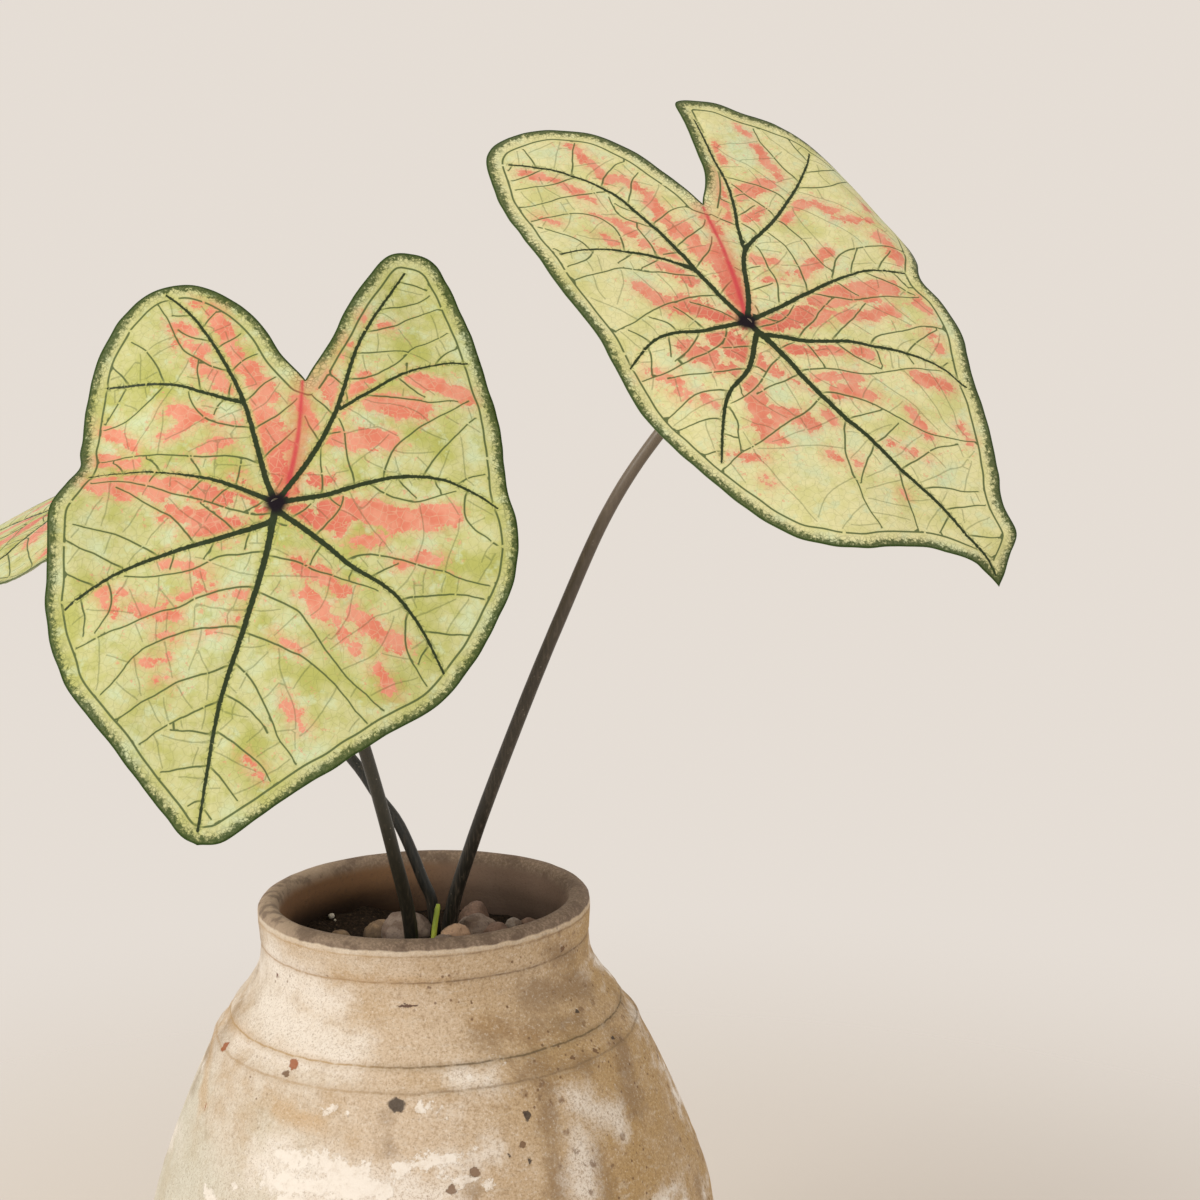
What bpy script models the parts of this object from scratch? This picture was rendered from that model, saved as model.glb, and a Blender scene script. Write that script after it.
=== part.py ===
"""A caladium with three leaves and a new shoot, growing in an old clay storage jar.

Lengths are millimetres until a mesh is made, and MM turns them into metres.
The origin is the centre of the jar's base, +Z is up and -Y faces the viewer.
"""

import math
import random

import bmesh
import bpy
import numpy as np
from mathutils import Vector
from mathutils.geometry import delaunay_2d_cdt

MM = 0.001
GAP = 0.3                        # clearance between two pieces that touch
SMOOTH_BELOW = 50.0              # edges that turn by fewer degrees than this are shaded smooth

# Jar: turned profiles as (radius, height), from the base up
SEGMENTS = 48
FLOOR_THICKNESS = 11.0
FLOOR_RADIUS = 72.0              # the floor inside is flat out to here
JAR_BASE_RADIUS = 80.0
JAR_BELLY = [(84.0, 4.0), (105.0, 42.0), (119.0, 82.0), (127.0, 128.0), (125.5, 160.0),
             (115.4, 192.0), (105.0, 218.0), (95.6, 238.5)]
JAR_SHOULDER = [(94.2, 242.8), (91.4, 245.6), (88.9, 248.4), (87.3, 251.8), (84.6, 255.6)]
JAR_NECK = [(80.4, 260.4), (75.2, 268.6), (72.5, 277.6), (72.9, 289.2)]
JAR_LIP = [(73.4, 296.4), (71.6, 300.0), (67.6, 301.2), (64.4, 299.8)]
JAR_INSIDE = [(62.8, 295.2), (62.9, 284.0), (66.6, 269.0), (86.0, 240.0), (106.0, 192.0),
              (117.0, 150.0), (117.0, 115.0), (108.0, 76.0), (90.0, 34.0), (76.0, 14.0)]
BELLY_STEP = 24.0                # longest facet along the wall outside, and inside
INSIDE_STEP = 34.0

# Potting soil, and the tuber that it covers
SOIL_TOP = 272.0
SOIL_WALL_GAP = 0.45             # measured level, so the slanting wall keeps a full GAP
TUBER_RADIUS = 24.0
TUBER_HEIGHT = 30.0
TUBER_TOP = 236.0
TUBER_BUD_FLAT = 19.0            # radius of the flat crown that the stems grow from
TUBER_RINGS = 7
TUBER_SIDES = 16

# Pebbles that dress the soil: (x, y, height of the middle, radius, height over width).
# The first ten show over the lip, and the rest fill the front of the mouth behind it.
PEBBLES = [
    (-9.5, 9.0, 280.6, 10.7, 0.80), (-20.5, 22.5, 274.8, 9.3, 0.70), (-38.5, 11.0, 276.5, 5.0, 0.80),
    (14.2, -12.0, 283.6, 6.8, 0.95), (9.0, -19.5, 284.2, 4.4, 0.80), (20.5, 22.0, 281.0, 6.6, 1.30),
    (22.8, 7.0, 280.8, 8.6, 0.85), (30.5, 3.5, 279.6, 7.4, 0.80), (38.8, 9.0, 281.6, 4.2, 0.95),
    (45.5, 12.0, 280.5, 4.8, 0.80),
    (-50.0, -8.0, 275.0, 9.0, 0.75), (-45.0, -27.0, 276.5, 9.0, 0.75), (-31.0, -41.0, 277.0, 10.0, 0.78),
    (-12.0, -49.0, 277.0, 10.5, 0.78), (8.0, -50.0, 277.0, 10.0, 0.80), (27.0, -44.0, 277.0, 10.0, 0.78),
    (42.0, -30.0, 277.0, 10.0, 0.75), (50.0, -12.0, 276.0, 9.5, 0.75), (-26.0, -22.0, 277.0, 10.0, 0.80),
    (-13.0, -32.0, 277.0, 9.0, 0.80), (4.0, -31.0, 277.0, 9.5, 0.80), (21.0, -26.0, 278.0, 10.0, 0.80),
    (33.0, -12.0, 276.5, 9.5, 0.78), (-28.0, -8.0, 276.0, 8.0, 0.70), (-14.5, -2.0, 275.0, 6.5, 0.75),
    (21.5, -6.0, 276.5, 7.0, 0.80), (10.5, -20.5, 276.5, 6.8, 0.80), (45.0, 4.0, 276.0, 8.5, 0.75),
]
PEBBLE_STRETCH = (0.94, 1.08)
PEBBLE_TILT = 0.3
PEBBLE_ROUGHNESS = 0.04
PEBBLE_STEM_GAP = 0.7
GRIT_MIDDLE = (6.0, -8.0)        # fine gravel that the pebbles lie in, off to the front
GRIT_RADIUS = 50.0
GRIT_BED = 1.6
GRIT_SIDES = 32
GROUND_RADIUS = 110.0            # the block that cuts the pebbles level, wider than the mouth
GROUND_DEPTH = 40.0

# Stems: (x, y, height) along the middle, from the tuber to the leaf
STEM_SIDES = 10
STEM_STEP = 13.0
STEM_HOLE_GAP = 0.35
STEM_RADII = {"left": (3.3, 2.4), "right": (3.3, 2.4), "back": (2.7, 2.2)}
STEM_RUN_IN = 9.0                # straight stretch that meets the blade square on
STEMS = {
    "left": [(-6.0, -10.5, 236.3), (-5.1, -14.0, 286.8), (-10.4, -28.0, 327.3),
             (-19.8, -45.0, 377.7), (-33.0, -61.5, 434.0)],
    "right": [(6.5, 1.0, 236.3), (10.6, 0.0, 285.3), (22.5, -4.0, 325.0), (43.1, -15.0, 379.0),
              (62.7, -25.0, 426.4), (84.0, -33.0, 473.2), (107.0, -37.0, 507.5)],
    "back": [(3.0, 12.0, 236.3), (3.3, 12.0, 286.8), (-1.5, 12.5, 303.9), (-10.8, 14.5, 327.4),
             (-20.3, 16.5, 340.8), (-32.1, 18.5, 358.2), (-62.0, 27.0, 389.0), (-95.0, 35.0, 420.0),
             (-130.0, 40.0, 449.0)],
}
SHOOT = [(5.8, -14.5, 236.3), (4.6, -12.8, 268.0), (4.6, -12.2, 284.3), (6.8, -9.0, 298.2)]
SHOOT_RADIUS = 1.45
SHOOT_TIP_SHARE = 0.8            # its tip's radius against its foot's
SHOOT_STEP = 6.0
SHOOT_SIDES = 8
HOLE_SIDES = 14
HOLE_DEPTH = 3.0                 # how far each cutter starts below the stem's foot
HOLE_KNOTS = 7                   # route points that carry a cutter clear of the soil

# Blades
BLADE_THICKNESS = 0.8
BLADE_SPACING = 10.0
HUB_FLAT = 5.0                   # the blade is flat this far round its stem
HUB_BLEND = 22.0
HUB_RINGS = [(5.2, 6), (13.0, 10)]
BLADE_REACH = 170.0              # no blade reaches further than this from its stem
HUB_CLEARANCE = 0.6              # of one spacing, between the hub's rings and the grid
EDGE_CLEARANCE = 0.62            # of one spacing, between the outline and the grid

# Each blade is drawn flat round its stem at (0, 0), with the tip at -v and the two lobes
# at +v. It is bent by a cup, by swells (u, v, reach, height) and by curls
# (u, v, direction, radius, angle): what lies left of a curl's line rolls back round it.
# azimuth and elevation say where its face looks, turn how far its midrib leans from plumb.
LEAVES = {
    "left": dict(
        at=(-47.1, -85.0, 486.3), azimuth=3.0, elevation=33.0, turn=-12.5, cup=7.0,
        swells=[(-86, -24, 24, 9), (-84, 26, 22, -12), (88, -55, 30, -6), (95, 10, 24, 5),
                (-50, -95, 26, 5), (35, 110, 26, -7)],
        curls=[],
        corners=[(-1, 57), (0, -139)],
        left_side=[(-13, 67), (-25, 80), (-38, 89), (-55, 94.5), (-70, 90.5), (-80, 79), (-86, 59),
                   (-88, 36), (-85, 15), (-81, 3), (-83, -7), (-86, -19), (-83, -34), (-78, -61),
                   (-64, -87), (-42, -107), (-22, -124), (-8, -136)],
        right_side=[(10, -136), (23, -122), (42, -104), (61, -85), (78, -68), (88, -48), (96, -24),
                    (98, -5), (94.5, 11), (89, 22), (85, 36), (79, 54), (60, 94), (47, 116),
                    (38, 128), (27.5, 131), (17, 126), (9, 105), (4, 76)]),
    "right": dict(
        at=(141.8, -45.0, 551.5), azimuth=18.0, elevation=46.0, turn=18.0, cup=4.0,
        swells=[(-62, 60, 30, 4), (-64, -20, 26, -4), (-20, -112, 24, 4)],
        curls=[(85.5, 0, -90, 30, 62), (0, -128, 180, 22, 35)],
        corners=[(22, 66), (31, -153)],
        left_side=[(19, 83), (13, 105), (3, 121), (-12, 131), (-28, 134), (-45, 130), (-55, 113),
                   (-62, 83), (-64, 47), (-62, 17), (-64, -10), (-64, -33), (-60, -59),
                   (-50.5, -87), (-38, -105), (-22, -115.5), (-6, -120), (9, -126), (21, -138)],
        right_side=[(38, -145), (46, -133), (49, -117), (57, -103), (68, -81), (78, -56),
                    (88, -36), (91, -18), (90, -4), (99, 7), (111, 28), (112, 56), (100, 83),
                    (87, 100), (77, 111), (67, 123), (51, 129), (46, 114), (40, 98), (34, 82)]),
    "back": dict(
        at=(-155.0, 40.0, 472.3), azimuth=-77.0, elevation=64.7, turn=-52.2, cup=6.0,
        swells=[(-66, 20, 24, 6), (-58, -40, 24, -5), (64, 30, 24, -6), (55, -45, 24, 5)],
        curls=[],
        corners=[(0, 48), (0, -118)],
        left_side=[(-3, 62), (-8, 84), (-20, 106), (-38, 112), (-54, 100), (-66, 72), (-71, 38),
                   (-72, 8), (-69, -22), (-61, -50), (-47, -74), (-28, -93), (-12, -106)],
        right_side=[(12, -106), (28, -93), (47, -74), (61, -50), (69, -22), (72, 8), (71, 38),
                    (65, 66), (54, 88), (40, 100), (24, 100), (10, 84), (3, 64)]),
}

# Colours as linear RGB, with roughness
FINISHES = {
    "clay": ((0.42, 0.33, 0.22), 0.85),
    "soil": ((0.035, 0.024, 0.016), 0.95),
    "tuber": ((0.16, 0.09, 0.05), 0.8),
    "pebble": ((0.19, 0.14, 0.12), 0.75),
    "stem": ((0.035, 0.030, 0.026), 0.45),
    "shoot": ((0.36, 0.48, 0.06), 0.5),
    "blade": ((0.52, 0.58, 0.20), 0.5),
}


def clear_scene():
    for thing in list(bpy.data.objects):
        bpy.data.objects.remove(thing)


def material(name):
    color, roughness = FINISHES[name]
    made = bpy.data.materials.get(name) or bpy.data.materials.new(name)
    made.use_nodes = True
    shader = made.node_tree.nodes["Principled BSDF"]
    shader.inputs["Base Color"].default_value = (*color, 1.0)
    shader.inputs["Roughness"].default_value = roughness
    shader.inputs["Metallic"].default_value = 0.0
    return made


def add_object(name, data, finish=None):
    thing = bpy.data.objects.new(name, data)
    bpy.context.scene.collection.objects.link(thing)
    if finish:
        data.materials.append(material(finish))
    return thing


def mesh_object(name, mesh_maker, finish, smooth_below=SMOOTH_BELOW):
    """Turn a bmesh in millimetres into a named object in metres."""
    bmesh.ops.scale(mesh_maker, vec=(MM, MM, MM), verts=mesh_maker.verts)
    bmesh.ops.recalc_face_normals(mesh_maker, faces=mesh_maker.faces)
    mesh = bpy.data.meshes.new(name)
    mesh_maker.to_mesh(mesh)
    mesh_maker.free()
    mesh.shade_smooth()
    mesh.set_sharp_from_angle(angle=math.radians(smooth_below))
    return add_object(name, mesh, finish)


def smooth_route(points, step):
    """Points about one step apart on a Catmull-Rom curve through the given ones."""
    knots = [np.array(point, float) for point in points]
    route = []
    for index in range(len(knots) - 1):
        start, end = knots[index], knots[index + 1]
        before = knots[index - 1] if index else 2 * start - end
        after = knots[index + 2] if index + 2 < len(knots) else 2 * end - start
        pieces = max(1, round(float(np.linalg.norm(end - start)) / step))
        for piece in range(pieces):
            t = piece / pieces
            route.append(0.5 * (2 * start + (end - before) * t
                                + (2 * before - 5 * start + 4 * end - after) * t * t
                                + (3 * start - before - 3 * end + after) * t ** 3))
    route.append(knots[-1])
    return route


def turned(profile, segments=SEGMENTS):
    """Spin a (radius, height) profile round the upright axis. Ends at radius 0 close it."""
    maker = bmesh.new()
    verts = [maker.verts.new((radius, 0.0, height)) for radius, height in profile]
    edges = [maker.edges.new(pair) for pair in zip(verts, verts[1:])]
    bmesh.ops.spin(maker, geom=verts + edges, cent=(0, 0, 0), axis=(0, 0, 1),
                   angle=2 * math.pi, steps=segments, use_duplicate=False, use_merge=True)
    bmesh.ops.remove_doubles(maker, verts=maker.verts, dist=0.001)
    return maker


def inside_profile():
    """The jar's inner wall from the mouth down, with a smooth hollow below the neck."""
    return [tuple(point) for point in smooth_route(JAR_INSIDE, INSIDE_STEP)]


def inside_radius(height):
    """The inner wall's radius at one height, along its straight facets."""
    wall = inside_profile()[::-1]
    return float(np.interp(height, [point[1] for point in wall], [point[0] for point in wall]))


def make_jar():
    belly = [tuple(point) for point in smooth_route(JAR_BELLY, BELLY_STEP)]
    profile = [(0.0, 0.0), (JAR_BASE_RADIUS, 0.0), *belly, *JAR_SHOULDER, *JAR_NECK, *JAR_LIP,
               *inside_profile(), (FLOOR_RADIUS, FLOOR_THICKNESS), (0.0, FLOOR_THICKNESS)]
    return mesh_object("jar", turned(profile), "clay")


def cut(target, cutters, operation="DIFFERENCE", solver="EXACT"):
    """Apply one Boolean with a list of objects, then remove those objects."""
    group = bpy.data.collections.new("cutters")
    bpy.context.scene.collection.children.link(group)
    for cutter in cutters:
        group.objects.link(cutter)
    modifier = target.modifiers.new("cut", "BOOLEAN")
    modifier.operand_type = "COLLECTION"
    modifier.collection = group
    modifier.operation = operation
    modifier.solver = solver
    bpy.context.view_layer.update()
    result = bpy.data.meshes.new_from_object(
        target.evaluated_get(bpy.context.evaluated_depsgraph_get()))
    target.modifiers.clear()
    target.data = result
    for cutter in cutters:
        bpy.data.objects.remove(cutter)
    bpy.data.collections.remove(group)


def tuber_profile():
    """A squat round tuber with a flat crown."""
    profile = [(0.0, TUBER_TOP), (TUBER_BUD_FLAT, TUBER_TOP)]
    flat_angle = math.acos(TUBER_BUD_FLAT / TUBER_RADIUS)
    half = TUBER_HEIGHT / (1 + math.sin(flat_angle))
    middle = TUBER_TOP - half * math.sin(flat_angle)
    for ring in range(1, TUBER_RINGS):
        angle = flat_angle - (flat_angle + math.pi / 2) * ring / TUBER_RINGS
        profile.append((TUBER_RADIUS * math.cos(angle), middle + half * math.sin(angle)))
    profile.append((0.0, middle - half))
    return profile


def make_tuber():
    return mesh_object("tuber", turned(tuber_profile(), TUBER_SIDES), "tuber")


def leaf_axes(leaf):
    """The blade's own directions in space: across it, towards the lobes, and out of its face."""
    azimuth, elevation, turn = (math.radians(leaf[key]) for key in ("azimuth", "elevation", "turn"))
    face = np.array([math.sin(azimuth) * math.cos(elevation),
                     -math.cos(azimuth) * math.cos(elevation), math.sin(elevation)])
    right = np.array([math.cos(azimuth), math.sin(azimuth), 0.0])
    up = np.cross(face, right)
    across = right * math.cos(turn) + up * math.sin(turn)
    along = up * math.cos(turn) - right * math.sin(turn)
    return across, along, face


def ease(value, low, high):
    t = np.clip((value - low) / (high - low), 0.0, 1.0)
    return t * t * (3 - 2 * t)


def bend_blade(leaf, flat):
    """Where flat points (u, v) of a blade go: cupped, swollen and curled, then set in space."""
    u, v = flat[:, 0].astype(float), flat[:, 1].astype(float)
    radius = np.hypot(u, v)
    w = -leaf["cup"] * (radius / 100.0) ** 2
    for swell_u, swell_v, reach, height in leaf["swells"]:
        w = w + height * np.exp(-((u - swell_u) ** 2 + (v - swell_v) ** 2) / reach ** 2)
    w = w * ease(radius, HUB_FLAT, HUB_BLEND)
    for line_u, line_v, direction, bend_radius, most in leaf["curls"]:
        line = math.radians(direction)
        along = np.array([math.cos(line), math.sin(line)])
        aside = np.array([-math.sin(line), math.cos(line)])
        down_line = (u - line_u) * along[0] + (v - line_v) * along[1]
        past = (u - line_u) * aside[0] + (v - line_v) * aside[1]
        angle = np.clip(past / bend_radius, 0.0, math.radians(most))
        straight = np.where(past > 0, past - bend_radius * angle, 0.0)
        reached = np.where(past > 0, (bend_radius + w) * np.sin(angle)
                           + straight * np.cos(angle), past)
        w = np.where(past > 0, (bend_radius + w) * np.cos(angle) - bend_radius
                     - straight * np.sin(angle), w)
        u = line_u + down_line * along[0] + reached * aside[0]
        v = line_v + down_line * along[1] + reached * aside[1]
    across, up_blade, face = leaf_axes(leaf)
    return (np.array(leaf["at"]) + u[:, None] * across + v[:, None] * up_blade
            + w[:, None] * face)


def blade_faces_out(leaf, flat, step=0.5):
    """Unit normals of the bent blade at flat points, by small steps along it."""
    along_u = bend_blade(leaf, flat + (step, 0)) - bend_blade(leaf, flat - (step, 0))
    along_v = bend_blade(leaf, flat + (0, step)) - bend_blade(leaf, flat - (0, step))
    normal = np.cross(along_u, along_v)
    return normal / np.linalg.norm(normal, axis=1)[:, None]


def blade_outline(leaf):
    """The blade's edge, smooth except at the notch between its lobes and at its tip."""
    notch, tip = leaf["corners"]
    left = smooth_route([notch, *leaf["left_side"], tip], BLADE_SPACING)
    right = smooth_route([tip, *leaf["right_side"], notch], BLADE_SPACING)
    return np.array(left[:-1] + right[:-1])


def inside_outline(point, outline):
    x, y = point
    crossings = 0
    for (x1, y1), (x2, y2) in zip(outline, np.roll(outline, -1, axis=0)):
        if (y1 > y) != (y2 > y) and x < x1 + (x2 - x1) * (y - y1) / (y2 - y1):
            crossings += 1
    return crossings % 2 == 1


def blade_net(leaf):
    """Flat points and triangles that fill the outline: a hub, then an even grid."""
    outline = blade_outline(leaf)
    inner = [(0.0, 0.0)]
    for radius, count in HUB_RINGS:
        for k in range(count):
            angle = 2 * math.pi * k / count
            inner.append((radius * math.cos(angle), radius * math.sin(angle)))
    row_height = BLADE_SPACING * math.sqrt(0.75)
    reach = int(BLADE_REACH / row_height)
    for row in range(-reach, reach + 1):
        for column in range(-reach, reach + 1):
            point = np.array([(column + 0.5 * (row % 2)) * BLADE_SPACING, row * row_height])
            if np.hypot(*point) < HUB_RINGS[-1][0] + HUB_CLEARANCE * BLADE_SPACING:
                continue
            if np.linalg.norm(outline - point, axis=1).min() < EDGE_CLEARANCE * BLADE_SPACING:
                continue
            if inside_outline(point, outline):
                inner.append(tuple(point))
    points = [Vector(point) for point in [*outline, *inner]]
    ring = list(range(len(outline)))
    flat, _, triangles, _, _, _ = delaunay_2d_cdt(points, [], [ring], 1, 0.001)
    return np.array([tuple(point) for point in flat]), triangles, len(outline)


def make_blade(name):
    """A thin waved blade, split into triangles alike on both faces."""
    leaf = LEAVES[name]
    flat, triangles, edge_count = blade_net(leaf)
    upper = bend_blade(leaf, flat)
    lower = upper - BLADE_THICKNESS * blade_faces_out(leaf, flat)
    maker = bmesh.new()
    top = [maker.verts.new(point) for point in upper]
    under = [maker.verts.new(point) for point in lower]
    for a, b, c in triangles:
        maker.faces.new((top[a], top[b], top[c]))
        maker.faces.new((under[c], under[b], under[a]))
    for k in range(edge_count):
        following = (k + 1) % edge_count
        maker.faces.new((top[k], under[k], under[following]))
        maker.faces.new((top[k], under[following], top[following]))
    return mesh_object(f"blade_{name}", maker, "blade")


def stem_route(name):
    """From the tuber's crown up to the underside of the blade, which it meets square on."""
    leaf = LEAVES[name]
    face = leaf_axes(leaf)[2]
    end = np.array(leaf["at"]) - (BLADE_THICKNESS + GAP) * face
    return smooth_route([*STEMS[name], end - STEM_RUN_IN * face, end], STEM_STEP)


def tube(name, route, foot_radius, tip_radius, finish, sides=STEM_SIDES):
    """A round bar along a route, tapering from a level foot to its tip, with flat ends."""
    maker = bmesh.new()
    points = [Vector(point) for point in route]
    heading = Vector((0.0, 0.0, 1.0))
    aside = Vector((1.0, 0.0, 0.0))
    rings = []
    for index, point in enumerate(points):
        if index:
            after = points[min(index + 1, len(points) - 1)]
            new_heading = (after - points[index - 1]).normalized()
        else:
            new_heading = heading
        turn = heading.rotation_difference(new_heading)
        heading = new_heading
        aside = (turn @ aside).normalized()
        other = heading.cross(aside)
        share = index / (len(points) - 1)
        radius = foot_radius + (tip_radius - foot_radius) * share
        ring = []
        for side in range(sides):
            angle = 2 * math.pi * side / sides
            ring.append(maker.verts.new(point + radius * (math.cos(angle) * aside
                                                          + math.sin(angle) * other)))
        rings.append(ring)
    for low, high in zip(rings, rings[1:]):
        for side in range(sides):
            following = (side + 1) % sides
            maker.faces.new((low[side], low[following], high[following], high[side]))
    maker.faces.new(rings[0][::-1])
    maker.faces.new(rings[-1])
    return mesh_object(name, maker, finish)


def make_stems():
    for name, (foot_radius, tip_radius) in STEM_RADII.items():
        tube(f"petiole_{name}", stem_route(name), foot_radius, tip_radius, "stem")
    tube("shoot", smooth_route(SHOOT, SHOOT_STEP), SHOOT_RADIUS, SHOOT_RADIUS * SHOOT_TIP_SHARE,
         "shoot", SHOOT_SIDES)


def stem_holes(gap):
    """Straight-sided cutters round the foot of each stem and of the shoot."""
    routes = [(stem_route(name)[:HOLE_KNOTS], radii[0]) for name, radii in STEM_RADII.items()]
    routes.append((smooth_route(SHOOT, SHOOT_STEP), SHOOT_RADIUS))
    cutters = []
    for route, radius in routes:
        foot = route[0] - (0, 0, HOLE_DEPTH)
        cutters.append(tube("hole", [foot, *route[1:]], radius + gap, radius + gap, None,
                            HOLE_SIDES))
    return cutters


def swollen_tuber():
    """The hollow that the tuber lies in, GAP wider all round."""
    profile = [(radius + (GAP if radius else 0.0), height) for radius, height in tuber_profile()]
    profile[0] = (0.0, TUBER_TOP + GAP)
    profile[1] = (profile[1][0], TUBER_TOP + GAP)
    profile[-1] = (0.0, profile[-1][1] - GAP)
    return mesh_object("hollow", turned(profile, TUBER_SIDES), None)


def make_soil():
    """Soil that fills the jar, with a hollow for the tuber and a plain hole for each stem."""
    wall = [point for point in inside_profile() if point[1] < SOIL_TOP - 1.0]
    profile = [(0.0, SOIL_TOP), (inside_radius(SOIL_TOP) - SOIL_WALL_GAP, SOIL_TOP)]
    profile += [(radius - SOIL_WALL_GAP, height) for radius, height in wall]
    profile += [(FLOOR_RADIUS - SOIL_WALL_GAP, FLOOR_THICKNESS + GAP), (0.0, FLOOR_THICKNESS + GAP)]
    soil = mesh_object("soil", turned(profile), "soil")
    cut(soil, [swollen_tuber(), *stem_holes(STEM_HOLE_GAP)])


def make_pebble(number):
    """One worn pebble: a squashed, turned ball with a slightly uneven surface."""
    x, y, height, radius, flatten = PEBBLES[number]
    rng = random.Random(number)
    stretch = rng.uniform(*PEBBLE_STRETCH)
    lean = Vector((rng.uniform(-PEBBLE_TILT, PEBBLE_TILT), rng.uniform(-PEBBLE_TILT, PEBBLE_TILT),
                   1.0))
    maker = bmesh.new()
    bmesh.ops.create_icosphere(maker, subdivisions=2, radius=1.0)
    for vert in maker.verts:
        vert.co *= rng.uniform(1 - PEBBLE_ROUGHNESS, 1 + PEBBLE_ROUGHNESS)
    bmesh.ops.scale(maker, vec=(radius * stretch, radius, radius * flatten), verts=maker.verts)
    bmesh.ops.rotate(maker, cent=(0, 0, 0), matrix=lean.to_track_quat("Z", "X").to_matrix(),
                     verts=maker.verts)
    bmesh.ops.translate(maker, vec=(x, y, height), verts=maker.verts)
    return mesh_object("pebble", maker, None)


def make_pebbles():
    """Pebbles joined by the fine gravel they lie in, cut level where they meet the soil."""
    bottom = SOIL_TOP + GAP
    bed = turned([(0.0, bottom + GRIT_BED), (GRIT_RADIUS, bottom + GRIT_BED),
                  (GRIT_RADIUS, bottom), (0.0, bottom)], GRIT_SIDES)
    bmesh.ops.translate(bed, vec=(*GRIT_MIDDLE, 0.0), verts=bed.verts)
    pebbles = mesh_object("pebbles", bed, "pebble")
    cut(pebbles, [make_pebble(number) for number in range(len(PEBBLES))], "UNION")
    below = bmesh.new()
    bmesh.ops.create_cone(below, cap_ends=True, segments=8, radius1=GROUND_RADIUS,
                          radius2=GROUND_RADIUS, depth=GROUND_DEPTH)
    bmesh.ops.translate(below, vec=(0, 0, bottom - GROUND_DEPTH / 2), verts=below.verts)
    ground = mesh_object("ground", below, None)
    cut(pebbles, [ground, *stem_holes(PEBBLE_STEM_GAP)])


def main():
    clear_scene()
    make_jar()
    make_tuber()
    make_soil()
    make_pebbles()
    make_stems()
    for name in LEAVES:
        make_blade(name)


main()
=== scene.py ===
"""The looks of a potted caladium: veined and blushed leaves, stems, pebbles and an old clay jar.

Lengths are millimetres until a mesh is made, and MM turns them into metres. The origin is the
centre of the jar's base, +Z is up and -Y faces the viewer. A leaf's own points are (u, v) round
its stem: +u is the viewer's right and +v runs to the notch between the lobes.
"""

import math
import random

import bmesh
import bpy
import numpy as np
from mathutils import Matrix, Vector, noise
from mathutils.geometry import delaunay_2d_cdt
from mathutils.kdtree import KDTree


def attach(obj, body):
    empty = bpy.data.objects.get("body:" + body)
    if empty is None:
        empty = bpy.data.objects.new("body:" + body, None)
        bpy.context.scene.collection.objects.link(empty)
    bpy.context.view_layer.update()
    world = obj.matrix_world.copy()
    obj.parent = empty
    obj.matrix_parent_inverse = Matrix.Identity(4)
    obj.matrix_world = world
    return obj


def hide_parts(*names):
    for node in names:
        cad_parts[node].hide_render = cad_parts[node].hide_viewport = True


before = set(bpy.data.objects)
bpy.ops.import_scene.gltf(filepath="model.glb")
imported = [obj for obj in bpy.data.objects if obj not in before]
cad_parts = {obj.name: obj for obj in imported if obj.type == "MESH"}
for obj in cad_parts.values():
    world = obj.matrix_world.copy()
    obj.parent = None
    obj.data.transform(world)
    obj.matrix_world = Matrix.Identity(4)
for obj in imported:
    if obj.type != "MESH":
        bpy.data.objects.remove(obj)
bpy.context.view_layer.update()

MM = 0.001

# Camera, as worked out from the jar's mouth and the upright stems
CAMERA_PLACE = (80, -1064, 615)
CAMERA_DOWN = 9.85
CAMERA_ROLL = 1.06
CAMERA_LENS = 75
SENSOR_WIDTH = 36

# Blades, as in the part
BLADE_THICKNESS = 0.8
HUB_FLAT = 5
HUB_BLEND = 22
RIM_STEP = 1.3
RIM_WAVER = 0.5
GRID_STEP = 2.1
VEIN_STEP = 1.5
VEIN_CELL = 1.5                  # veins that come this near to each other meet
VEIN_APART = 1.08                # points on veins keep this far apart
VEIN_CLEAR = 1.12                # a grid point stays this far from a vein's points
VEIN_SPLIT = 0.65                # a triangle between veins is split where it reaches this far
VEIN_JITTER = 0.09
VEIN_STEPS = 60                  # a side vein stops after so many steps
MARGIN_VEIN = 6.8                # the margin vein runs this far inside the edge

# Kinds of vein: half width at the start and at the end
MIDRIB = (1.35, 0.46)
LATERAL = (1.18, 0.38)
BRANCH = (0.8, 0.34)
SECOND_ORDER = (0.30, 0.17)
THIRD_ORDER = (0.17, 0.10)
MARGIN_ORDER = (0.30, 0.30)
RED_LINE = (0.8, 1.3)
SECOND_EVERY = 13                # millimetres between side veins along their parent
THIRD_EVERY = 12

# Relief of a blade, as height and reach: beside the main veins, then beside the second ones
VEIN_HOLLOWS = [(0.55, 1.8), (0.22, 1.2)]
VEIN_RIBS = [(0.75, 1.0), (0.25, 0.8)]
QUILT_SIZE, QUILT_HEIGHT = 16, 0.8

# Noise along "streak" is drawn out away from the stem, except close to it
STREAK_HUB = 14
STREAK_SQUEEZE = 0.42
MAP_RIM = 1.2                    # the rim lies this far outside the upper face on the map
MAP_SCALE = 0.94 / 2 / 0.78

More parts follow.
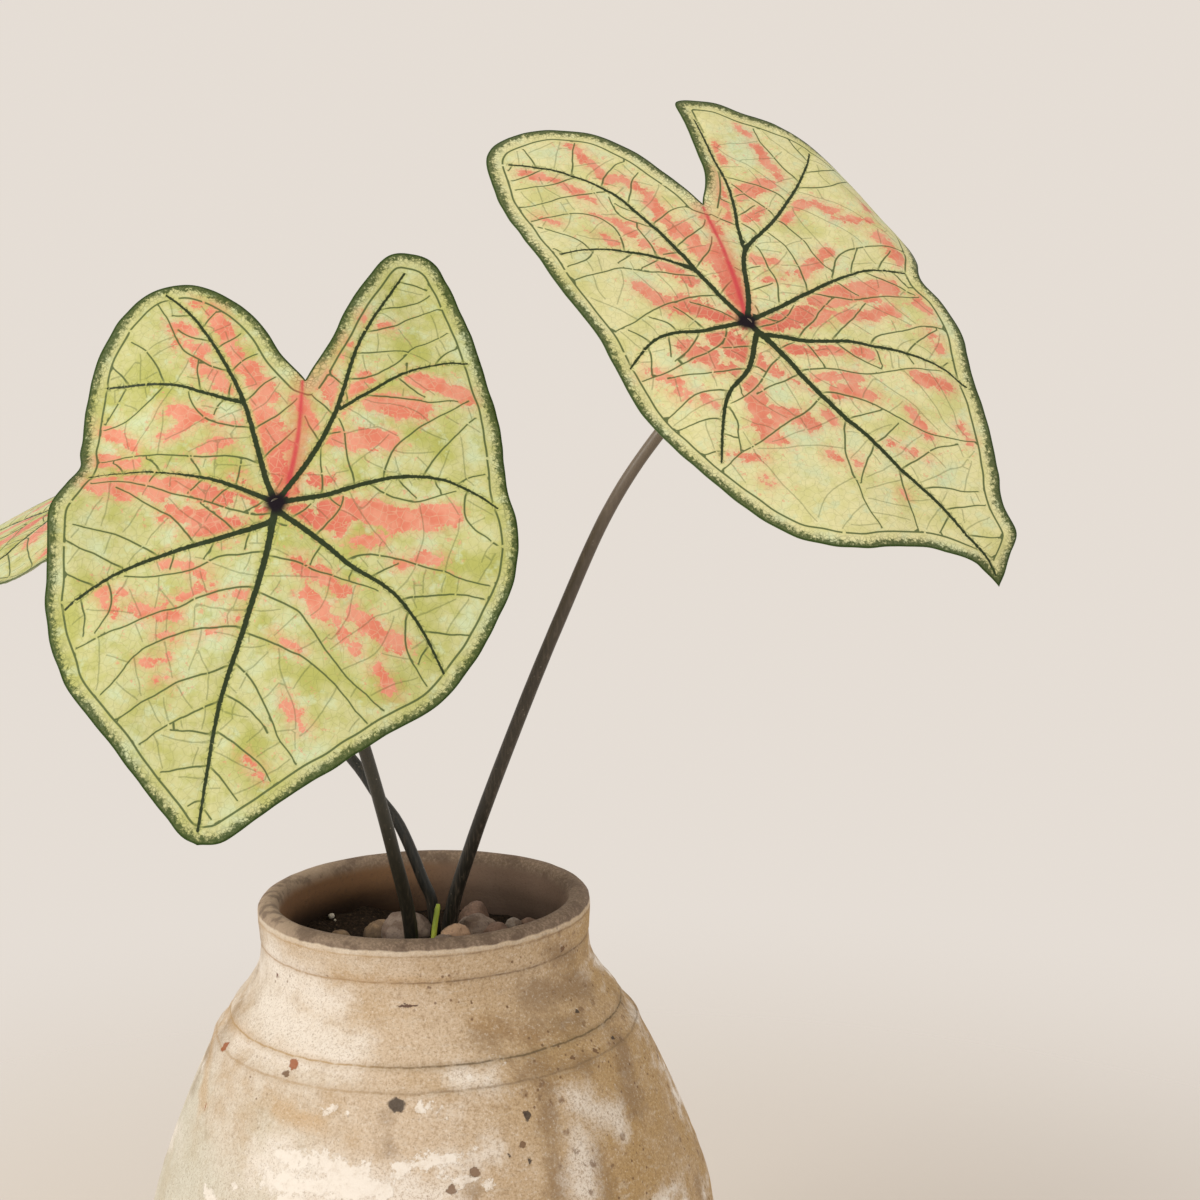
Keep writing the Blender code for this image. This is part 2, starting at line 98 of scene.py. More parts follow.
LEFT_LEAF = dict(
    at=(-47.1, -85, 486.3), azimuth=3, elevation=33, turn=-12.5, cup=7,
    swells=[(-86, -24, 24, 9), (-84, 26, 22, -12), (88, -55, 30, -6), (95, 10, 24, 5),
        (-50, -95, 26, 5), (35, 110, 26, -7)],
    curls=[],
    corners=[(-1, 57), (0, -139)],
    left_side=[(-13, 67), (-25, 80), (-38, 89), (-55, 94.5), (-70, 90.5), (-80, 79), (-86, 59),
        (-88, 36), (-85, 15), (-81, 3), (-83, -7), (-86, -19), (-83, -34), (-78, -61), (-64, -87),
        (-42, -107), (-22, -124), (-8, -136)],
    right_side=[(10, -136), (23, -122), (42, -104), (61, -85), (78, -68), (88, -48), (96, -24),
        (98, -5), (94.5, 11), (89, 22), (85, 36), (79, 54), (60, 94), (47, 116), (38, 128),
        (27.5, 131), (17, 126), (9, 105), (4, 76)],
    veins=[
        (MIDRIB, [(0, 0), (1, -24), (-1, -56), (-3, -79), (-3, -98), (-2, -115), (-1, -134)]),
        (LATERAL, [(1, -3), (20, -12), (34, -20), (47, -25), (56, -30), (67, -40), (78, -54)]),
        (LATERAL, [(0, 0), (19, 8), (35, 17), (47, 22), (62, 24), (78, 19), (86, 15)]),
        (LATERAL, [(0, 0), (9, 23), (14, 45), (16, 80), (21, 104), (26, 121)]),
        (BRANCH, [(14, 45), (26, 58), (38, 70), (52, 78), (61, 80)]),
        (LATERAL, [(0, 0), (-6, 9), (-13, 23), (-24, 44), (-39, 64), (-52, 78), (-60, 84),
            (-67, 88)]),
        (BRANCH, [(-23, 42), (-40, 44), (-56, 46), (-81, 43)]),
        (LATERAL, [(0, 0), (-16, 4), (-29, 6), (-41, 6)]),
        (SECOND_ORDER, [(-41, 6), (-60, 4), (-76, -1)]),
        (LATERAL, [(0, -8), (-19, -19), (-36, -28), (-54, -40), (-67, -53), (-71, -58)]),
    ],
    red=[(-2, 56), (2, 30), (3, 4)],
    blushes=[(-45, 83, -29, 60, 4), (-60, 73, -51, 72, 3), (-56, 66, -45, 64, 3),
        (-46, 58, -31, 48, 4), (-57, 86, -52, 85, 2), (-25, 58, -13, 47, 5), (-17, 40, -5, 26, 6),
        (-9, 25, 3, 6, 5), (-52, 34, -37, 33, 4), (-51, 21, -43, 27, 3), (-35, 17, -25, 23, 3),
        (-80, 26, -63, 17, 3), (-76, 9, -61, 8, 4), (-33, 30, -22, 32, 2), (-74, -4, -59, -5, 5),
        (-57, -1, -46, -3, 6), (-41, 2, -22, -2, 5), (-41, -12, -13, -12, 4), (-18, 7, -4, -5, 3),
        (3, 63, 15, 49, 5), (-1, 47, 7, 36, 3), (17, 53, 23, 63, 4), (29, 53, 46, 53, 6),
        (16, 33, 38, 36, 5), (11, 13, 19, 14, 3), (40, 68, 65, 63, 4), (9, -2, 26, -6, 4),
        (20, 2, 41, 4, 6), (46, 2, 67, 8, 6), (34, -10, 43, -8, 3), (52, -15, 67, -10, 3),
        (8, 81, 14, 77, 2), (9, 74, 12, 69, 2), (13, 96, 16, 91, 2), (22, 92, 27, 92, 2),
        (-60, -49, -50, -48, 2), (-38, -32, -21, -34, 3), (-17, -42, 0, -40, 2),
        (-32, -17, -16, -17, 3), (14, -24, 33, -31, 4), (20, -35, 31, -43, 4),
        (31, -43, 44, -54, 3), (40, -40, 60, -48, 4), (-58, -48, -52, -56, 3),
        (-44, -53, -29, -53, 4), (-33, -63, -26, -62, 2), (-37, -75, -27, -71, 2),
        (-27, -46, -17, -40, 2), (-18, -60, -5, -51, 2), (12, -54, 22, -58, 2),
        (22, -80, 30, -88, 3), (11, -104, 19, -109, 2), (-28, -80, -23, -80, 2),
        (53, -60, 60, -67, 3)],
    pale=(0.59, 0.585, 0.285), green=(0.45, 0.465, 0.13), vein_seed=3)
RIGHT_LEAF = dict(
    at=(141.8, -45, 551.5), azimuth=18, elevation=46, turn=18, cup=4,
    swells=[(-62, 60, 30, 4), (-64, -20, 26, -4), (-20, -112, 24, 4)],
    curls=[(85.5, 0, -90, 30, 62), (0, -128, 180, 22, 35)],
    corners=[(22, 66), (31, -153)],
    left_side=[(19, 83), (13, 105), (3, 121), (-12, 131), (-28, 134), (-45, 130), (-55, 113),
        (-62, 83), (-64, 47), (-62, 17), (-64, -10), (-64, -33), (-60, -59), (-50.5, -87),
        (-38, -105), (-22, -115.5), (-6, -120), (9, -126), (21, -138)],
    right_side=[(38, -145), (46, -133), (49, -117), (57, -103), (68, -81), (78, -56), (88, -36),
        (91, -18), (90, -4), (99, 7), (111, 28), (112, 56), (100, 83), (87, 100), (77, 111),
        (67, 123), (51, 129), (46, 114), (40, 98), (34, 82)],
    veins=[
        (MIDRIB, [(0, 0), (4, -17), (7, -41), (10, -54), (14, -70), (18, -90), (23, -109),
            (25, -124), (31, -148)]),
        (LATERAL, [(0, 0), (22, 3), (41, 6), (61, 8), (71, 7), (85, 1)]),
        (LATERAL, [(1, -7), (18, -17), (37, -25), (55, -37), (66, -48), (71, -62)]),
        (LATERAL, [(0, 0), (9, 12), (23, 35), (45, 46), (70, 62), (92, 80)]),
        (BRANCH, [(23, 35), (29, 49), (39, 70), (45, 92), (52, 116)]),
        (LATERAL, [(0, 0), (-3, 26), (-4, 45), (-7, 67), (-11, 84), (-19, 100), (-30, 111),
            (-42, 119)]),
        (BRANCH, [(-4, 33), (-14, 45), (-34, 57), (-54, 60)]),
        (LATERAL, [(0, 0), (-18, 3), (-32, 7), (-43, 6), (-57, -1)]),
        (LATERAL, [(0, -7), (-13, -21), (-28, -29), (-38, -40), (-50, -57)]),
    ],
    red=[(21, 64), (14, 38), (5, 12), (1, 3)],
    blushes=[(-40, 113, -28, 99, 3), (-28, 96, -22, 85, 3), (-11, 118, -8, 92, 3),
        (-3, 93, 3, 78, 3), (2, 77, 0, 55, 4), (-28, 77, -11, 63, 2), (-32, 66, -27, 58, 2),
        (-20, 68, -16, 53, 3), (-12, 50, -5, 40, 3), (6, 56, 3, 38, 4), (19, 64, 18, 49, 3),
        (39, 82, 28, 54, 3), (10, 41, 3, 10, 5), (-15, 41, -9, 29, 4), (-32, 33, -23, 16, 4),
        (-19, 20, -5, 1, 5), (50, 98, 47, 87, 2), (69, 105, 70, 95, 2), (67, 90, 65, 69, 3),
        (39, 66, 56, 67, 5), (34, 51, 44, 54, 3), (24, 30, 31, 25, 3), (21, 17, 32, 16, 2),
        (52, 46, 66, 52, 3), (71, 51, 76, 43, 3), (75, 39, 90, 33, 3), (96, 45, 96, 40, 2),
        (39, 15, 57, 22, 4), (87, 24, 87, 9, 4), (6, -3, 32, -7, 6), (36, 0, 71, -4, 6),
        (41, -12, 64, -16, 4), (3, -17, 41, -33, 3), (12, -36, 29, -42, 3), (14, -45, 27, -52, 4),
        (80, -14, 80, -21, 3), (74, -30, 72, -41, 3), (53, -51, 62, -59, 4), (-15, -3, -9, -16, 7),
        (-31, -2, -25, -11, 5), (-53, -5, -43, -14, 3), (-46, -19, -44, -25, 3),
        (-42, -23, -35, -32, 2), (-25, -17, -19, -22, 3), (-17, -27, -25, -54, 5),
        (-16, -45, -6, -54, 5), (-22, -58, -19, -60, 2), (-7, -22, -3, -28, 3),
        (0, -32, 6, -41, 2), (3, -53, 5, -58, 3), (39, -65, 39, -78, 3), (22, -76, 31, -88, 2),
        (56, -78, 54, -87, 2), (11, -97, 11, -100, 2), (-46, -54, -33, -63, 2),
        (-39, -70, -38, -75, 2), (-7, -70, -6, -74, 2), (2, -77, 2, -81, 2),
        (-50, 83, -44, 78, 2)],
    # The right leaf's pale and green are lighter than the other leaves': painted light, for the
    # light that shines through it
    pale=(0.72, 0.69, 0.375), green=(0.6, 0.59, 0.25), vein_seed=5)
BACK_LEAF = dict(
    at=(-155, 40, 472.3), azimuth=-77, elevation=64.7, turn=-52.2, cup=6,
    swells=[(-66, 20, 24, 6), (-58, -40, 24, -5), (64, 30, 24, -6), (55, -45, 24, 5)],
    curls=[],
    corners=[(0, 48), (0, -118)],
    left_side=[(-3, 62), (-8, 84), (-20, 106), (-38, 112), (-54, 100), (-66, 72), (-71, 38),
        (-72, 8), (-69, -22), (-61, -50), (-47, -74), (-28, -93), (-12, -106)],
    right_side=[(12, -106), (28, -93), (47, -74), (61, -50), (69, -22), (72, 8), (71, 38),
        (65, 66), (54, 88), (40, 100), (24, 100), (10, 84), (3, 64)],
    veins=[
        (MIDRIB, [(0, 0), (1, -30), (-1, -70), (0, -113)]),
        (LATERAL, [(0, -4), (20, -16), (40, -34), (54, -54)]),
        (LATERAL, [(0, 0), (22, 6), (46, 8), (65, 2)]),
        (LATERAL, [(0, 0), (12, 26), (20, 56), (29, 93)]),
        (BRANCH, [(14, 34), (34, 48), (62, 54)]),
        (LATERAL, [(0, 0), (-10, 26), (-22, 60), (-38, 102)]),
        (BRANCH, [(-13, 34), (-36, 44), (-64, 46)]),
        (LATERAL, [(0, 0), (-24, 8), (-46, 6), (-65, -6)]),
        (LATERAL, [(0, -6), (-20, -18), (-40, -38), (-53, -58)]),
    ],
    red=[(0, 47), (2, 24), (1, 3)],
    blushes=[(6, 40, 10, 20, 5), (-4, 38, -9, 18, 5), (18, 40, 36, 34, 5), (-20, 30, -44, 24, 5),
        (14, 12, 40, 18, 5), (10, -4, 44, -12, 5), (-12, -4, -46, -4, 6), (-14, -22, -34, -20, 4),
        (6, -24, 30, -46, 4), (-8, -34, -30, -52, 4), (24, 74, 34, 88, 4), (-30, 70, -44, 86, 5),
        (-52, 60, -50, 36, 4), (48, 60, 52, 38, 4), (52, -20, 58, -8, 3), (10, -62, 20, -78, 3),
        (-12, -70, -24, -66, 3), (-48, -30, -56, -20, 3)],
    pale=(0.59, 0.585, 0.285), green=(0.45, 0.465, 0.13), vein_seed=8)
LEAVES = {"left": LEFT_LEAF, "right": RIGHT_LEAF, "back": BACK_LEAF}


# Routes and outlines

def smooth_route(points, step):
    """Points about one step apart on a Catmull-Rom curve through the given ones."""
    knots = [np.array(point, float) for point in points]
    route = []
    for index in range(len(knots) - 1):
        start, end = knots[index], knots[index + 1]
        before = knots[index - 1] if index else 2 * start - end
        after = knots[index + 2] if index + 2 < len(knots) else 2 * end - start
        pieces = max(1, round(float(np.linalg.norm(end - start)) / step))
        for t in (piece / pieces for piece in range(pieces)):
            route.append(0.5 * (2 * start + (end - before) * t
                                + (2 * before - 5 * start + 4 * end - after) * t * t
                                + (3 * start - before - 3 * end + after) * t ** 3))
    return [*route, knots[-1]]


def ease(value, low, high):
    t = np.clip((value - low) / (high - low), 0.0, 1.0)
    return t * t * (3 - 2 * t)


def leaf_axes(leaf):
    """The blade's own directions in space: across it, towards the lobes, and out of its face."""
    azimuth, elevation, turn = map(math.radians, (leaf["azimuth"], leaf["elevation"], leaf["turn"]))
    face = np.array([math.sin(azimuth) * math.cos(elevation),
                     -math.cos(azimuth) * math.cos(elevation), math.sin(elevation)])
    right = np.array([math.cos(azimuth), math.sin(azimuth), 0.0])
    up = np.cross(face, right)
    across = right * math.cos(turn) + up * math.sin(turn)
    return across, up * math.cos(turn) - right * math.sin(turn), face


def bend_blade(leaf, flat):
    """Where flat points (u, v) of a blade go: cupped, swollen and curled, then set in space."""
    u, v = flat.T.astype(float)
    radius = np.hypot(u, v)
    w = -leaf["cup"] * (radius / 100) ** 2
    for swell_u, swell_v, reach, height in leaf["swells"]:
        w = w + height * np.exp(-((u - swell_u) ** 2 + (v - swell_v) ** 2) / reach ** 2)
    w = w * ease(radius, HUB_FLAT, HUB_BLEND)
    for line_u, line_v, direction, bend_radius, most in leaf["curls"]:
        cos, sin = math.cos(math.radians(direction)), math.sin(math.radians(direction))
        down_line = (u - line_u) * cos + (v - line_v) * sin
        past = (v - line_v) * cos - (u - line_u) * sin
        angle = np.clip(past / bend_radius, 0.0, math.radians(most))
        straight = np.where(past > 0, past - bend_radius * angle, 0.0)
        reached = (bend_radius + w) * np.sin(angle) + straight * np.cos(angle)
        raised = (bend_radius + w) * np.cos(angle) - bend_radius - straight * np.sin(angle)
        reached, w = np.where(past > 0, reached, past), np.where(past > 0, raised, w)
        u = line_u + down_line * cos - reached * sin
        v = line_v + down_line * sin + reached * cos
    across, up_blade, face = leaf_axes(leaf)
    return np.array(leaf["at"]) + u[:, None] * across + v[:, None] * up_blade + w[:, None] * face


def blade_faces_out(leaf, flat, step=0.5):
    """Unit normals of the bent blade at flat points, by small steps along it."""
    along_u = bend_blade(leaf, flat + (step, 0)) - bend_blade(leaf, flat - (step, 0))
    along_v = bend_blade(leaf, flat + (0, step)) - bend_blade(leaf, flat - (0, step))
    normal = np.cross(along_u, along_v)
    return normal / np.linalg.norm(normal, axis=1)[:, None]


def outward_of(ring, span):
    """Unit vectors out of a closed ring of points, from those so many places before and after."""
    along = np.roll(ring, -span, axis=0) - np.roll(ring, span, axis=0)
    outward = np.stack([along[:, 1], -along[:, 0]], 1)
    return outward / np.maximum(np.linalg.norm(outward, axis=1), 1e-6)[:, None]


def blade_outline(leaf):
    """The blade's edge, with a fine waver, smooth but for the notch and the tip."""
    notch, tip = leaf["corners"]
    left = smooth_route([notch, *leaf["left_side"], tip], RIM_STEP)
    right = smooth_route([tip, *leaf["right_side"], notch], RIM_STEP)
    outline = np.array(left[:-1] + right[:-1])
    waver = np.array([noise.noise((*point / 9.0, 0.5)) for point in outline])
    return outline + RIM_WAVER * waver[:, None] * outward_of(outline, 1)


def inside_outline(points, outline):
    """Which of the points lie inside the closed outline."""
    inside = np.zeros(len(points), bool)
    x, y = points.T
    for (x1, y1), (x2, y2) in zip(outline, np.roll(outline, -1, axis=0)):
        if y1 != y2:
            inside ^= ((y1 > y) != (y2 > y)) & (x < x1 + (x2 - x1) * (y - y1) / (y2 - y1))
    return inside


# Veins

def kd_tree(points):
    tree = KDTree(len(points))
    for index, point in enumerate(points):
        tree.insert((point[0], point[1], 0.0), index)
    tree.balance()
    return tree


def cell_of(point, size):
    return int(point[0] // size), int(point[1] // size)


def cells_round(point, size):
    """The grid cell that a point lies in, and its eight neighbours."""
    column, row = cell_of(point, size)
    return [(column + i, row + j) for i in (-1, 0, 1) for j in (-1, 0, 1)]


def thinned(points, apart):
    """The points in order, leaving out any that lies too near one kept before."""
    kept, cells = [], {}
    for point in points:
        near = [cells[cell] for cell in cells_round(point, apart) if cell in cells]
        if all(np.hypot(*(other - point)) >= apart for other in near):
            cells[cell_of(point, apart)] = point
            kept.append(point)
    return kept


class VeinNet:
    """Veins of one blade. Each is a line of points with a half width that tapers along it.

    The order is 0 for a main vein, 1 for the margin vein, 2 and 3 for what grows from others,
    and 4 for the red line.
    """

    def __init__(self, leaf, outline):
        self.rim = kd_tree(outline)
        self.outline = outline
        self.rng = random.Random(leaf["vein_seed"])
        self.taken = {}
        self.veins = []
        for sizes, knots in leaf["veins"]:
            self.add(smooth_route(knots, VEIN_STEP), sizes, 0)
        self.add(smooth_route(leaf["red"], VEIN_STEP), RED_LINE, 4)
        self.add_margin_vein()
        main = self.of_order(0)
        self.side_veins(main, SECOND_EVERY, (58, 78), 0.06, SECOND_ORDER, 2)
        self.side_veins(main + self.of_order(2), THIRD_EVERY, (65, 100), 0.0, THIRD_ORDER, 3)

    def of_order(self, *orders):
        return [index for index, vein in enumerate(self.veins) if vein["order"] in orders]

    def add(self, points, sizes, order):
        self.veins.append(dict(points=[np.array(point, float) for point in points],
                               widths=np.linspace(*sizes, len(points)), order=order))
        for point in points:
            self.taken.setdefault(cell_of(point, VEIN_CELL), len(self.veins) - 1)

    def rim_distance(self, point):
        place, _, distance = self.rim.find((point[0], point[1], 0.0))
        return distance, np.array(place[:2])

    def add_margin_vein(self):
        """The vein that follows the edge all the way round, from one side of the notch."""
        kept = []
        for point, outward in zip(self.outline, outward_of(self.outline, 2)):
            offset = MARGIN_VEIN + noise.noise((*point / 22.0, 3.0))
            spot = point - offset * outward
            apart = np.linalg.norm(kept[-1] - spot) if kept else VEIN_STEP
            if self.rim_distance(spot)[0] > 0.93 * offset and apart > 0.8 * VEIN_STEP:
                kept.append(spot)
        self.add(smooth_route(kept, VEIN_STEP), MARGIN_ORDER, 1)

    def blocked(self, point, parent, may_touch_parent):
        found = {self.taken.get(cell) for cell in cells_round(point, VEIN_CELL)}
        return bool(found - {None} - (set() if may_touch_parent else {parent}))

    def grow(self, start, heading, pull, parent, sizes, order):
        """One side vein: it turns towards the edge and stops at the first vein it meets."""
        points = [start]
        for step in range(VEIN_STEPS):
            distance, nearest = self.rim_distance(points[-1])
            outward = (nearest - points[-1]) / max(distance, 0.1)
            jitter = np.array([self.rng.gauss(0, VEIN_JITTER), self.rng.gauss(0, VEIN_JITTER)])
            heading = heading + pull * outward + jitter
            heading = heading / np.linalg.norm(heading)
            points.append(points[-1] + heading * VEIN_STEP)
            if distance < MARGIN_VEIN or self.blocked(points[-1], parent, step > 3):
                break
        if len(points) > 3:
            self.add(points, sizes, order)

    def side_veins(self, parents, every, lean, pull, sizes, order):
        """Side veins from both sides of the parents, one each every so many millimetres."""
        for parent in parents:
            points = self.veins[parent]["points"]
            for side in (1, -1):
                gone = self.rng.uniform(0.3, 1.0) * every
                for before, here in zip(points, points[1:]):
                    gone += np.linalg.norm(here - before)
                    if gone < every:
                        continue
                    gone = self.rng.uniform(-0.25, 0.15) * every
                    x, y = (here - before) / np.linalg.norm(here - before)
                    turn = side * math.radians(self.rng.uniform(*lean))
                    heading = np.array([x * math.cos(turn) - y * math.sin(turn),
                                        x * math.sin(turn) + y * math.cos(turn)])
                    if self.rim_distance(here)[0] > MARGIN_VEIN * 0.8:
                        self.grow(here, heading, pull, parent, sizes, order)

    def depth(self, flat, *orders):
        """How far each point lies inside the nearest such vein, in mm; below 0 is outside."""
        samples = []
        for vein in (self.veins[index] for index in self.of_order(*orders)):
            rows = np.column_stack([vein["points"], vein["widths"]])
            for here, ahead in zip(rows, rows[1:]):
                samples += [here * (1 - share) + ahead * share for share in (0.0, 0.25, 0.5, 0.75)]
            samples.append(rows[-1])
        tree = kd_tree(samples)
        return np.array([max(samples[found][2] - distance
                             for _, found, distance in tree.find_n((*point, 0.0), 4))
                         for point in flat])


def mark_depth(points, marks):
    """How far each point lies inside the nearest mark, a line with a half width, in mm."""
    depth = np.full(len(points), -99.0)
    for x1, y1, x2, y2, width in marks:
        start, line = np.array([x1, y1], float), np.array([x2 - x1, y2 - y1], float)
        share = np.clip((points - start) @ line / max(line @ line, 1e-6), 0.0, 1.0)
        away = np.linalg.norm(points - start - share[:, None] * line, axis=1)
        depth = np.maximum(depth, width - away)
    return depth


# Meshes

def add_object(name, data):
    made = bpy.data.objects.new(name, data)
    bpy.context.scene.collection.objects.link(made)
    return made


def mesh_object(name, verts, faces, material):
    """A mesh in metres from points in mm."""
    mesh = bpy.data.meshes.new(name)
    mesh.from_pydata((np.asarray(verts) * MM).tolist(), [], faces)
    mesh.materials.append(material)
    return add_object(name, mesh)


def new_piece(name, verts, faces, material, stands_for, slot, fields=None):
    """A smooth mesh that rides on the root body. A field gives each point a number or a vector."""
    piece = mesh_object(name, verts, faces, material)
    piece.data.shade_smooth()
    for field, values in (fields or {}).items():
        values = np.asarray(values, np.float32)
        kind, key = ("FLOAT_VECTOR", "vector") if values.ndim == 2 else ("FLOAT", "value")
        piece.data.attributes.new(field, kind, "POINT").data.foreach_set(key, values.ravel())
    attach(piece, "root")
    if stands_for:
        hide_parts(*stands_for)
    return piece


def ring_faces(rings):
    """Faces between rings of point numbers. A ring of one number over and over is a point."""
    faces = []
    for low, high in zip(rings, rings[1:]):
        for k in range(len(low)):
            after = (k + 1) % len(low)
            face = tuple(dict.fromkeys((low[k], low[after], high[after], high[k])))
            if len(face) > 2:
                faces.append(face)
    return faces


def turned_grid(profile, segments, shift=None):
    """Points and faces of a turned shape; shift(radius, height, angle, row) moves its points."""
    verts, rings = [], []
    for row, (radius, height) in enumerate(profile):
        around = segments if radius else 1
        rings.append([len(verts) + k % around for k in range(segments)])
        for k in range(around):
            angle = 2 * math.pi * k / segments
            r, h = shift(radius, height, angle, row) if shift and radius else (radius, height)
            verts.append((r * math.cos(angle), r * math.sin(angle), h))
    return verts, ring_faces(rings)


def tube(route, radii, sides):
    """Points and faces of a closed round bar whose first ring is level."""
    points = [Vector(point) for point in route]
    heading, aside = Vector((0, 0, 1)), Vector((1, 0, 0))
    verts = []
    for index, point in enumerate(points):
        if index:
            after = points[min(index + 1, len(points) - 1)]
            new_heading = (after - points[index - 1]).normalized()
            aside = (heading.rotation_difference(new_heading) @ aside).normalized()
            heading = new_heading
        other = heading.cross(aside)
        for side in range(sides):
            angle = 2 * math.pi * side / sides
            out = math.cos(angle) * aside + math.sin(angle) * other
            verts.append(tuple(point + float(radii[index]) * out))
    rings = np.arange(len(verts)).reshape(-1, sides).tolist()
    return verts, [*ring_faces(rings), tuple(rings[0][::-1]), tuple(rings[-1])]


def round_ball(subdivisions, radius):
    """Points and triangles of an even ball."""
    ball = bmesh.new()
    bmesh.ops.create_icosphere(ball, subdivisions=subdivisions, radius=radius)
    points = [vert.co.copy() for vert in ball.verts]
    faces = [tuple(vert.index for vert in face.verts) for face in ball.faces]
    ball.free()
    return points, faces


def filled(points, edge):
    """Triangles over all the points, inside the ring that the first ones make."""
    flat, _, triangles, _, _, _ = delaunay_2d_cdt([Vector(point) for point in points], [],
                                                  [list(range(edge))], 1, 0.001)
    return np.array([tuple(point) for point in flat]), triangles


def blade_net(outline, net):
    """Flat points and triangles: the edge, every vein's points, and an even grid between."""
    row_height = GRID_STEP * math.sqrt(0.75)
    low, high = outline.min(0), outline.max(0)
    grid = np.array([(low[0] + (column + 0.5 * (row % 2)) * GRID_STEP, low[1] + row * row_height)
                     for row in range(int((high[1] - low[1]) / row_height) + 1)
                     for column in range(int((high[0] - low[0]) / GRID_STEP) + 1)])
    grid = grid[inside_outline(grid, outline)]
    on_veins = np.array([point for vein in sorted(net.veins, key=lambda vein: vein["order"])
                         for point in vein["points"]])
    on_veins = on_veins[inside_outline(on_veins, outline)]
    on_veins = thinned([point for point in on_veins if net.rim_distance(point)[0] > 0.7],
                       VEIN_APART)
    tree = kd_tree(on_veins)
    between = [point for point in grid if tree.find((*point, 0.0))[2] > VEIN_CLEAR
               and net.rim_distance(point)[0] > 0.6 * RIM_STEP]
    points = [*outline, *on_veins, *between]
    flat, triangles = filled(points, len(outline))
    past_veins = len(outline) + len(on_veins)
    middles = [flat[list(face)].mean(0) for face in triangles if max(face) < past_veins]
    split = thinned([point for point in middles if tree.find((*point, 0.0))[2] > VEIN_SPLIT], 0.4)
    return filled([*points, *split], len(outline))


def beside_veins(depths, sizes):
    return sum(height * np.exp(-(np.minimum(depth, 0) / reach) ** 2)
               for depth, (height, reach) in zip(depths, sizes))


def make_blade(name):
    leaf = LEAVES[name]
    outline = blade_outline(leaf)
    net = VeinNet(leaf, outline)
    flat, triangles = blade_net(outline, net)
    edge, count = len(outline), len(flat)
    main, second = net.depth(flat, 0), net.depth(flat, 1, 2)
    rim = np.array([net.rim_distance(point)[0] for point in flat])
    rim[:edge] = 0.0
    hub = np.hypot(*flat.T)
    out = blade_faces_out(leaf, flat)
    quilt = np.array([noise.noise((*point / QUILT_SIZE, leaf["vein_seed"])) for point in flat])
    swell = (QUILT_HEIGHT * quilt * ease(rim, 0, 12)
             - beside_veins((main, second), VEIN_HOLLOWS) * ease(rim, 0, 2)) * ease(hub, 3, 12)
    ribs = beside_veins((main, second), VEIN_RIBS) * ease(rim, 0, 2) * ease(hub, 2, 8)
    upper = bend_blade(leaf, flat) + swell[:, None] * out
    under = upper - (BLADE_THICKNESS * ease(rim + 0.6, 0, 1.5) + ribs)[:, None] * out
    ring = [*range(edge), 0]
    faces = [*map(tuple, triangles), *((c + count, b + count, a + count) for a, b, c in triangles),
             *((k, k + count, after + count, after) for k, after in zip(ring, ring[1:]))]
    around = np.arctan2(flat[:, 0], -flat[:, 1])
    level = np.zeros(count)
    fields = {
        "vein_main": main, "vein_second": second, "vein_third": net.depth(flat, 3),
        "red": net.depth(flat, 4), "rim": rim, "hub": hub,
        "blush": mark_depth(flat, leaf["blushes"]), "on_leaf": np.column_stack([flat, level]) * MM,
        "streak": np.stack([around * np.maximum(hub, STREAK_HUB), hub * STREAK_SQUEEZE,
                            level], 1) * MM,
    }
    fields = {field: np.concatenate([values, values]) for field, values in fields.items()}
    fields["underside"] = np.repeat([0.0, 1.0], count)
    piece = new_piece(f"leaf_{name}", np.vstack([upper, under]), faces, leaf_material(name),
                      [f"blade_{name}"], "blade", fields)
    add_blade_map(piece.data, flat, edge)


def add_blade_map(mesh, flat, edge):
    """A plane map for baking: the upper face left, the underside right, the rim just outside."""
    corners, sides = np.empty(len(mesh.loops), int), np.empty(len(mesh.polygons), int)
    mesh.loops.foreach_get("vertex_index", corners)
    mesh.polygons.foreach_get("loop_total", sides)
    below, in_rim = corners >= len(flat), np.repeat(sides, sides) == 4
    points = flat[corners % len(flat)]
    moved = below & in_rim
    points[moved] += MAP_RIM * outward_of(flat[:edge], 1)[corners[moved] - len(flat)]
    scale = MAP_SCALE / np.ptp(flat, axis=0).max()
    uv = (points - (flat.min(0) + flat.max(0)) / 2) * scale + 0.5
    uv[:, 0] += np.where(below & ~in_rim, 0.25, -0.25)
    mesh.uv_layers.new(name="OFBake").data.foreach_set("uv", uv.ravel())


# Materials

